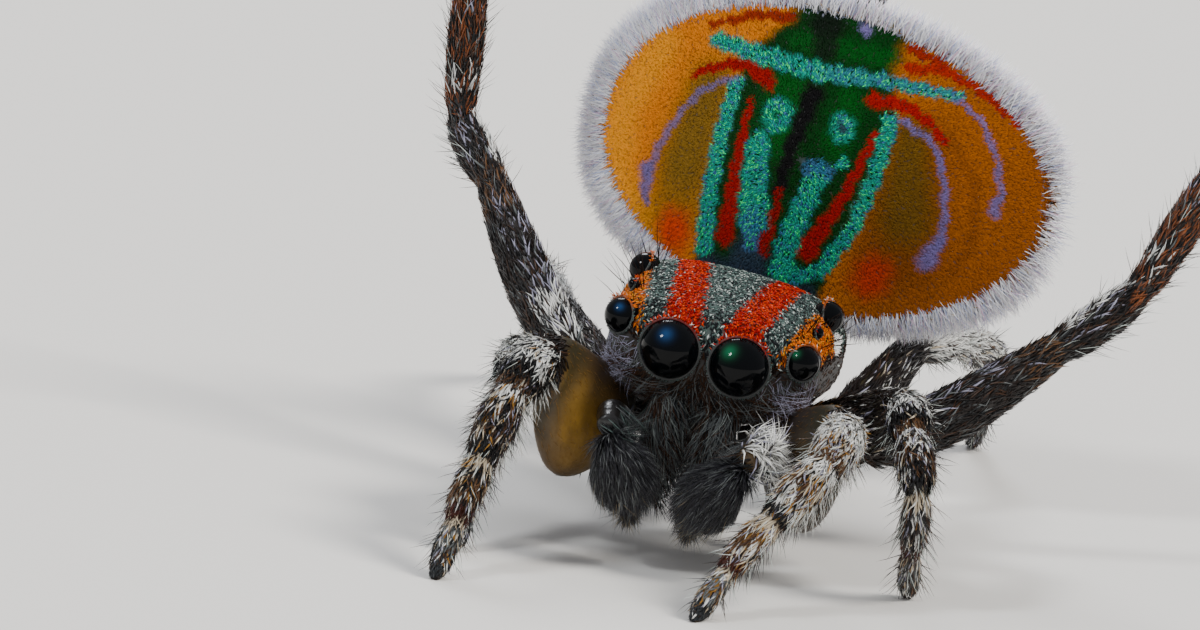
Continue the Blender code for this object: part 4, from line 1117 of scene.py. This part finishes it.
# Strokes of the fan's markings: colour, half width at each end, softness, strength, how metallic, and
# the points that it passes through, across and up from the fan's middle.
FAN_STROKES = (
    # Painted light and shade on the flaps: the gold band and the lighter copies on the spider's right (x
    # below 0) are painted light, and the deep amber band and the darker copies on its left (x above 0) are
    # painted shade.
    (GOLD, 0.20, 0.26, 0.8, 0.7, 0, (-1.30, 0.50), (-1.50, 0.0), (-1.45, -0.45), (-1.10, -0.82)),
    (DEEP_AMBER, 0.22, 0.24, 0.8, 0.5, 0, (1.55, 0.25), (1.60, -0.25), (1.45, -0.6)),
    (FAN_OLIVE * 1.1, 0.30, 0.38, 0.8, 0.75, 0, (-0.80, 0.30), (-0.84, -0.55)),
    (DEEP_AMBER * 0.7, 0.30, 0.42, 0.8, 0.8, 0, (0.74, 0.30), (0.80, -0.45)),
    (FAN_OLIVE, 0.18, 0.28, 0.8, 0.85, 0, (-0.82, 0.32), (-0.86, -0.25)),
    (FAN_OLIVE * 0.65, 0.16, 0.28, 0.8, 0.85, 0, (0.70, 0.34), (0.80, -0.20)),
    (DEEP_AMBER * 0.8, 0.05, 0.05, 0.8, 0.6, 0, (0.95, 0.42), (1.20, 0.15), (1.28, -0.25), (1.2, -0.5)),
    (FAN_GLOW, 0.18, 0.18, 0.8, 0.9, 0, (-0.83, -0.71), (-0.82, -0.76)),
    (FAN_GLOW * 0.75, 0.17, 0.17, 0.8, 0.9, 0, (0.68, -0.64), (0.66, -0.70)),
    (DEEP_GREEN, 0.50, 0.40, 0.3, 1.0, 0, (0.08, 1.10), (0.07, 0.52)),
    (DEEP_GREEN, 0.60, 0.50, 0.12, 1.0, 0, (-0.03, 0.42), (-0.07, -0.15), (-0.13, -0.9)),
    (LEAF_GREEN, 0.20, 0.20, 0.8, 0.8, 0, (-0.24, 0.45), (-0.22, 0.1)),
    (LEAF_GREEN, 0.14, 0.14, 0.8, 0.7, 0, (0.22, 0.47), (0.2, 0.15)),
    (LEAF_GREEN, 0.10, 0.10, 0.8, 0.6, 0, (-0.25, 0.80), (0.40, 0.84)),
    (BLACK, 0.09, 0.05, 0.6, 1.0, 0, (-0.04, 0.46), (-0.08, 0.1), (-0.10, -0.26)),
    (BLACK, 0.16, 0.10, 0.6, 0.8, 0, (-0.08, 0.98), (-0.04, 0.78)),
    (SLATE, 0.06, 0.20, 0.6, 0.9, 0, (-0.21, -0.45), (-0.20, -0.80)),
    (SLATE * 0.7, 0.14, 0.12, 0.6, 0.9, 0, (-0.50, -0.92), (0.25, -0.92)),
    (FAN_RED, 0.03, 0.085, 0.45, 1.0, 0, (-0.47, 0.30), (-0.46, -0.1), (-0.43, -0.45), (-0.42, -0.66)),
    (FAN_RED, 0.035, 0.09, 0.45, 1.0, 0, (0.45, 0.29), (0.34, -0.2), (0.23, -0.5), (0.19, -0.60)),
    (FAN_RED * 0.8, 0.03, 0.055, 0.45, 1.0, 0, (-0.09, -0.24), (-0.10, -0.5), (-0.12, -0.68)),
    (TEAL, 0.065, 0.08, 0.45, 1.0, 0.8, (-0.62, 0.40), (-0.63, 0.0), (-0.61, -0.4), (-0.56, -0.78)),
    (
        TEAL, 0.068, 0.06, 0.45, 1.0, 0.8,
        (0.54, 0.42), (0.52, 0.0), (0.46, -0.4), (0.32, -0.72), (0.13, -0.82),
    ),
    (TEAL, 0.10, 0.13, 0.45, 1.0, 0.8, (-0.33, 0.03), (-0.30, -0.2), (-0.24, -0.48)),
    (BLUE_GREY, 0.11, 0.07, 0.45, 0.8, 0.5, (-0.24, -0.50), (-0.22, -0.66)),
    (TEAL, 0.085, 0.10, 0.45, 1.0, 0.8, (0.14, -0.06), (0.09, -0.3), (0.04, -0.6), (0.05, -0.80)),
    (BLUE_GREY, 0.06, 0.06, 0.45, 0.8, 0.5, (0.05, -0.03), (0.20, -0.03)),
    (TEAL, 0.05, 0.05, 0.45, 1.0, 0.8, (0.27, 0.05), (0.27, 0.04)),
    (TEAL, 0.125, 0.125, 0.45, 1.0, 0.8, (-0.25, 0.26), (-0.25, 0.24)),
    (LEAF_GREEN, 0.05, 0.05, 0.8, 0.8, 0.2, (-0.25, 0.26), (-0.25, 0.25)),
    (TEAL, 0.105, 0.105, 0.45, 0.9, 0.6, (0.22, 0.29), (0.22, 0.27)),
    (SLATE, 0.045, 0.045, 0.6, 0.9, 0.2, (0.22, 0.29), (0.22, 0.28)),
    (FAN_RED, 0.072, 0.03, 0.45, 1.0, 0, (-0.38, 0.46), (-0.56, 0.54), (-0.75, 0.50), (-0.97, 0.37)),
    (FAN_RED, 0.068, 0.03, 0.45, 1.0, 0, (0.38, 0.53), (0.60, 0.55), (0.78, 0.49), (0.93, 0.37)),
    (FAN_RED * 0.8, 0.05, 0.03, 0.45, 0.9, 0, (-0.36, 0.94), (-0.60, 0.90), (-0.94, 0.74)),
    (FAN_RED * 0.8, 0.04, 0.03, 0.45, 0.9, 0, (0.55, 0.95), (0.80, 0.90)),
    (FAN_RED, 0.045, 0.03, 0.45, 0.9, 0, (0.56, 0.81), (0.80, 0.86), (1.05, 0.80), (1.38, 0.62)),
    (TEAL, 0.070, 0.080, 0.45, 1.0, 0.7, (-0.86, 0.65), (-0.50, 0.63), (0.0, 0.62)),
    (TEAL * 0.6 + BLUE_GREY * 0.4, 0.070, 0.045, 0.45, 1.0, 0.6, (0.0, 0.62), (0.40, 0.68), (0.94, 0.71)),
    (
        FAN_LILAC, 0.026, 0.044, 0.7, 0.75, 0,
        (-0.62, 0.44), (-0.85, 0.30), (-1.0, 0.08), (-1.10, -0.18), (-1.14, -0.40),
    ),
    (FAN_LILAC, 0.085, 0.033, 0.7, 0.9, 0, (-1.15, -0.38), (-1.14, -0.48), (-1.09, -0.60)),
    (
        FAN_LILAC, 0.026, 0.039, 0.7, 0.9, 0,
        (0.60, 0.45), (0.86, 0.35), (1.0, 0.10), (1.07, -0.2), (1.06, -0.34),
    ),
    (FAN_LILAC, 0.052, 0.091, 0.7, 0.95, 0, (1.06, -0.30), (1.03, -0.42), (1.01, -0.46)),
    (FAN_LILAC, 0.026, 0.029, 0.7, 0.8, 0, (0.94, 0.69), (1.12, 0.60), (1.30, 0.35), (1.38, 0.10)),
    (FAN_LILAC, 0.039, 0.055, 0.7, 0.9, 0, (1.38, 0.08), (1.36, -0.02)),
    (FAN_LILAC * 1.3, 0.058, 0.058, 0.7, 0.9, 0, (0.20, 1.0), (0.21, 1.0)),
)


def stroke(x, h, start_width, end_width, softness, points):
    """1 on a line through points, falling to 0 at its half width over a share of it, the softness."""
    covered = np.zeros(x.shape)
    last = len(points) - 1
    for i, ((ax, ah), (bx, bh)) in enumerate(zip(points, points[1:])):
        dx, dh = bx - ax, bh - ah
        t = np.clip(((x - ax) * dx + (h - ah) * dh) / (dx * dx + dh * dh), 0, 1)
        width = start_width + (end_width - start_width) * (i + t) / last
        distance = np.hypot(x - ax - dx * t, h - ah - dh * t)
        covered = np.maximum(covered, 1 - soft_step(distance / width, 1 - softness, 1 + 0.3 * softness))
    return covered


def fan_marking(x, h):
    """Colour and metal gleam of the fan's front at places of its plane, with light and shade painted on the
    flaps.
    """
    x = x + 0.010 * np.sin(h * 37 + x * 9) + 0.006 * np.sin(h * 83 - x * 31)
    h = h + 0.010 * np.sin(x * 41 - h * 7) + 0.006 * np.sin(x * 79 + h * 23)
    # The amber darkens towards the spider's left, where x grows: painted shade.
    colour = blended(AMBER, DEEP_AMBER, soft_step(x, -0.5, 1.1) * 0.85)
    gleam = np.zeros(x.shape)
    for shade, start_width, end_width, softness, strength, metal, *points in FAN_STROKES:
        share = stroke(x, h, start_width, end_width, softness, points) * strength
        colour = blended(colour, shade, share)
        gleam = gleam * (1 - share) + metal * share
    return colour, gleam


def fan_rings(sides=180):
    """Rings of the fan from the middle of its front over the rim to the middle of its back."""
    angle = angles(sides)
    c, s = np.cos(angle), np.sin(angle)
    radius = (np.abs(c) ** FAN_POWER + np.abs(s) ** FAN_POWER) ** (-1 / FAN_POWER)
    shares = np.linspace(0.0, 1.0, FAN_FACE_RINGS)
    depths = np.arange(1, FAN_RIM_RINGS + 1) / (FAN_RIM_RINGS + 1)
    rim = [(1.0 + 0.022 * math.sin(math.pi * depth), depth) for depth in depths]
    swelling = FAN_ROOT_THICKNESS - FAN_RIM_THICKNESS
    rings = []
    for share, depth in [(share, 0.0) for share in shares] + rim + [(share, 1.0) for share in shares[::-1]]:
        x = (FAN_HALF_WIDTH - FAN_COAT_DEPTH) * c * radius * share
        h = (FAN_HALF_HEIGHT - FAN_COAT_DEPTH) * s * radius * share
        thickness = FAN_RIM_THICKNESS + swelling * (1 - min(share, 1) ** 2)
        bow = FAN_CURL * (x / FAN_HALF_WIDTH) ** 2 + FAN_RISE_CURL * (h / FAN_HALF_HEIGHT) ** 2
        y = FAN_FRONT + bow + FAN_COAT_DEPTH + (thickness - 2 * FAN_COAT_DEPTH) * depth
        rings.append(np.stack([x, y, h + FAN_CENTRE_HEIGHT], -1))
    return np.array(rings)


fan_places = fan_rings()
fan = Form(carried(floor_from_abdomen, fan_places))
fan_x, fan_h = fan_places[..., 0], fan_places[..., 2] - FAN_CENTRE_HEIGHT
behind = fan.share > 0.5
edge_share = np.hypot((fan_x - 0.04) / 1.66, fan_h / 1.04)
fringe_zone = soft_step(edge_share, 0.965, 1.03)
fan_colour = np.where(behind[..., None], TAN, fan_marking(fan_x, fan_h)[0])
add_skin(fan, blended(fan_colour * 0.7, FRINGE_BLUE * 0.6, fringe_zone), 0.3)


def plant_fan(name, seed, region, count=15000):
    """Scales over a region of the fan's front."""
    coat = Coat(name, seed)
    places, roots = coat.spread(fan, count, region * (1 - behind) * (1 - fringe_zone), fan_places)
    x, h = roots[:, 0], roots[:, 2] - FAN_CENTRE_HEIGHT
    tone, gleam = fan_marking(x, h)
    draw = coat.rng.random(count)
    bluish = 0.5 + 0.5 * np.sin(x * 23 + 2 * np.sin(h * 17)) * np.sin(h * 29 + 1.5)
    for chosen, shade in (
        (draw < 0.15, BRIGHT_GREEN), (draw > 0.94 - 0.28 * bluish, BLUE_GREY), (draw > 0.94, DEEP_GREEN),
    ):
        tone = np.where((chosen & (gleam > 0.35))[:, None], shade, tone)
    tone = tone * coat.rng.uniform(0.8, 1.15, count)[:, None]
    lie = turned(floor_from_abdomen, np.stack([x, 0 * x, h], -1))
    coat.plant(
        scale_blade, fan, places, (0.042, 0.024), tone, lie, lift=0.07, sway=0.5, gleam=gleam * 0.7,
        thickness=0.3, curl=0.0, shade=(0.88, 1.08),
    )
    coat.finish(scale_finish)


FLAP_START = 0.42
plant_fan("fan_scales_left", 51, fan_x >= FLAP_START)
plant_fan("fan_scales_right", 52, fan_x <= -FLAP_START)
plant_fan("fan_scales_middle", 53, np.abs(fan_x) < FLAP_START)

fan_back = Coat("fan_back_hair", 54)
places, roots = fan_back.spread(fan, 6000, behind * (edge_share > 0.3), fan_places)
tone = tints(fan_back.rng, len(roots), (TAN, 0.6), (CREAM, 0.2), (BROWN, 0.2))
lie = turned(floor_from_abdomen, (roots - (0, 0, FAN_CENTRE_HEIGHT)) * (1, 0, 1))
fan_back.plant(hair_blade, fan, places, (0.11, 0.021), tone, lie, lift=0.16, sway=0.3)
fan_back.finish(dull_finish)

fringe = Coat("fan_fringe", 55)
dense = fringe_zone + 2.0 * soft_step(edge_share, 1.0, 1.04)
(s, t), roots = fringe.spread(fan, 14500, dense, fan_places)
x, h = roots[:, 0], roots[:, 2] - FAN_CENTRE_HEIGHT
aside = x / FAN_HALF_WIDTH**2
outward = unit(np.stack([aside, 0.35 * np.abs(aside), h / FAN_HALF_HEIGHT**2], -1))
outward = turned(floor_from_abdomen, outward)
tone = tints(fringe.rng, len(s), (FRINGE_PALE, 0.78), (FRINGE_BLUE, 0.15), (FRINGE_PINK, 0.07))
inside = fringe.rng.random(len(s)) > soft_step(fan.read(edge_share, s, t), 0.95, 1.02)
inside &= fan.read(behind * 1.0, s, t) < 0.5
tone = np.where(inside[:, None], fan_marking(x, h)[0], tone)
reach = (0.215 - 0.05 * soft_step(-h, 0.5, 1.0)) * np.where(inside, 0.5, 1.0)
fringe.plant(
    hair_blade, fan, (s, t), (reach, 0.0075), tone, outward, lift=0.10, sway=0.2, wave=0.25, curl=0.0,
    shade=(0.9, 1.1), hold=0.3, thickness=0.8,
)
fringe.finish(dull_finish)

half_sizes = np.array((ABDOMEN_HALF_WIDTH, ABDOMEN_HALF_DEPTH)) - ABDOMEN_COAT_DEPTH
rings = []
for share in np.linspace(0.02, 0.98, 50):
    ring = power_ring(*half_sizes * math.sin(math.pi * share**0.9) ** 0.55, 2.2, 72)
    rings.append(np.stack([ring[:, 0], ring[:, 1] + 0.04, np.full(len(ring), ABDOMEN_LENGTH * share)], -1))
abdomen_places = closed_ends(rings, 0.02, 0.02)
abdomen = Form(carried(floor_from_abdomen, abdomen_places))
BELLY = srgb(122, 102, 78)
add_skin(abdomen, BELLY * 0.6, 0.35)
abdomen_coat = Coat("abdomen_hair", 56)
hairy = soft_step(abdomen_places[..., 1], -0.15, 0.0) + 0.15
places, roots = abdomen_coat.spread(abdomen, 6000, hairy, abdomen_places)
dark = stroke(roots[:, 0], roots[:, 2], 0.10, 0.24, 0.5, ((0.0, 2.1), (0.0, 0.5)))
dark = (dark > abdomen_coat.rng.random(len(roots))).astype(int)
BELLY_HAIR = (((BELLY, 0.55), (PALE, 0.30), (BROWN, 0.15)), ((DARK_GREY, 0.6), (BELLY, 0.4)))
tone = picked(abdomen_coat.rng, dark, BELLY_HAIR)
abdomen_coat.plant(
    hair_blade, abdomen, places, (0.14, 0.016), tone, window=(0, 0.8), sway=0.25, clump=12, pull=0.4
)


# Spinnerets and waist. A low mound with four short cones ends the abdomen, and a thin stalk joins its
# base to the carapace.

MOUND_DEPTH = 0.06
CONE_STEPS = ((0.8, -0.1), (1.0, 0.0), (1.2, 0.14), (1.3, 0.24))

top = ABDOMEN_LENGTH * 0.99
mound_places = [(0, MOUND_DEPTH, top + rise) for rise in (-0.10, 0.02, 0.11)]
add_skin(tube(floor_from_abdomen, mound_places, (0.13, 0.14, 0.08)), DARK_BROWN)
for x, y in ((0.09, -0.07), (-0.09, -0.07), (0.08, 0.07), (-0.08, 0.07)):
    cone_places = [(x * spread, MOUND_DEPTH + y * spread, top + rise) for spread, rise in CONE_STEPS]
    cone = tube(floor_from_abdomen, cone_places, (0.07, 0.055, 0.048, 0.026), bulge=0.015)
    add_skin(cone, DARK_BROWN)
    abdomen_coat.sow(cone, 260, 1.0, (0.08, 0.010), MID_GREY, window=(0.85, 0.99), lift=0.3, sway=0.3)
waist_places = ((0.0, 2.20, -0.38), (0.06, 2.61, -0.29), (0.12, 3.02, -0.20))
waist = tube(floor_from_body, waist_places, (0.11, 0.085, 0.11))
add_skin(waist, DARK_BROWN)
abdomen_coat.sow(waist, 250, 1.0, (0.09, 0.011), BROWN, window=(0.82, 0.84), sway=0.3)
abdomen_coat.finish(dull_finish)


# The skin piece: all the forms above in one mesh, with fine pores and wrinkles as bump. It is
# glossier on jaws, fangs and arms than under thick hair.


def skin_varying(tree):
    place = tree.node("ShaderNodeTexCoord", "Object")
    mottle = tree.node("ShaderNodeTexNoise", "Fac", Vector=place, Scale=9000.0, Detail=4.0)
    pores = tree.node("ShaderNodeTexVoronoi", "Distance", Vector=place, Scale=32000.0)
    relief = pores * 0.6 + mottle
    return {
        "Base Color": tree.attribute("marking", "Color").tinted((0.01, 0.008, 0.006, 1), mottle * 0.5),
        "Roughness": 0.75 - tree.attribute("gloss", "Fac") * 0.6 + mottle * 0.12,
        "Normal": tree.node("ShaderNodeBump", 0, Strength=0.35, Distance=0.000012, Height=relief),
    }


skin_data = bpy.data.meshes.new("skin")
skin_mesh.to_mesh(skin_data)
skin_mesh.free()
skin_data.shade_smooth()
skin_data.materials.append(new_material("cuticle_skin", skin_varying, Coat_Weight=0.15, Coat_Roughness=0.3))
flesh = [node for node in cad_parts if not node.startswith("eye")]
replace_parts(add_piece("skin", skin_data), *flesh)


# Stage: a pale floor, soft studio light from the upper right and a camera at the photograph's angle.
# The front light alone makes the glint at each eye's upper left, so the key light makes none.

# Lights: name, azimuth and height in degrees, strength, softness in degrees and colour.
LIGHTS = (
    ("key", 8, 50, 3.6, 22, (1.0, 0.97, 0.92)),
    ("front", -140, 44, 1.5, 10, (0.95, 0.98, 1.0)),
    ("rim", 110, 40, 1.4, 20, (0.92, 0.95, 1.0)),
)
WORLD_COLOUR, WORLD_STRENGTH = (0.93, 0.95, 1.0, 1), 0.5
FLOOR_SIZE = 0.4
FLOOR_LOOK = {"Base_Color": (0.74, 0.72, 0.69, 1), "Roughness": 0.8}
SENSOR_WIDTH = 36
PIXELS_PER_MM = 145.0
FRAME_WIDTH, FRAME_HEIGHT = 1200, 630
EYE_PIXEL = (705, 357)
CAMERA_AZIMUTH, CAMERA_ELEVATION, CAMERA_ROLL = math.radians(8), math.radians(12), math.radians(7.7)
CAMERA_DISTANCE = 70.0


def place(name, data, matrix=None):
    """An object of the scene alone."""
    thing = bpy.data.objects.new(name, data)
    thing.matrix_world = matrix or Matrix()
    bpy.context.scene.collection.objects.link(thing)
    return thing


floor_mesh = bmesh.new()
bmesh.ops.create_grid(floor_mesh, x_segments=1, y_segments=1, size=FLOOR_SIZE)
floor_data = bpy.data.meshes.new("floor")
floor_mesh.to_mesh(floor_data)
floor_mesh.free()
floor_data.materials.append(new_material("pale_floor", lambda tree: {}, **FLOOR_LOOK))
place("floor", floor_data)

for name, azimuth, height, strength, softness, colour in LIGHTS:
    light = bpy.data.lights.new(name, "SUN")
    light.energy = strength
    light.angle = math.radians(softness)
    light.color = colour
    ray = -heading(azimuth, height)
    lamp = place(name, light, ray.to_track_quat("-Z", "Y").to_matrix().to_4x4())
    lamp.visible_glossy = name != "key"
world = bpy.data.worlds.new("studio")
world.use_nodes = True
background = world.node_tree.nodes["Background"].inputs
background["Color"].default_value = WORLD_COLOUR
background["Strength"].default_value = WORLD_STRENGTH
bpy.context.scene.world = world

level = Vector((math.cos(CAMERA_AZIMUTH), math.sin(CAMERA_AZIMUTH), 0))
back = Matrix.Rotation(-CAMERA_ELEVATION, 3, level) @ Vector((level.y, -level.x, 0))
right = Matrix.Rotation(CAMERA_ROLL, 3, back) @ level
up = back.cross(right)
across_frame = (EYE_PIXEL[0] - FRAME_WIDTH / 2) / PIXELS_PER_MM
down_frame = (EYE_PIXEL[1] - FRAME_HEIGHT / 2) / PIXELS_PER_MM
camera_at = (eye_middle - right * across_frame + up * down_frame + back * CAMERA_DISTANCE) * METRES_PER_MM
camera_data = bpy.data.cameras.new("camera")
camera_data.sensor_width = SENSOR_WIDTH
camera_data.lens = SENSOR_WIDTH * CAMERA_DISTANCE / (FRAME_WIDTH / PIXELS_PER_MM)
camera_data.clip_start = 0.001
camera_data.clip_end = 5
stance = Matrix.Translation(camera_at) @ Matrix((right, up, back)).transposed().to_4x4()
bpy.context.scene.camera = place("camera", camera_data, stance)
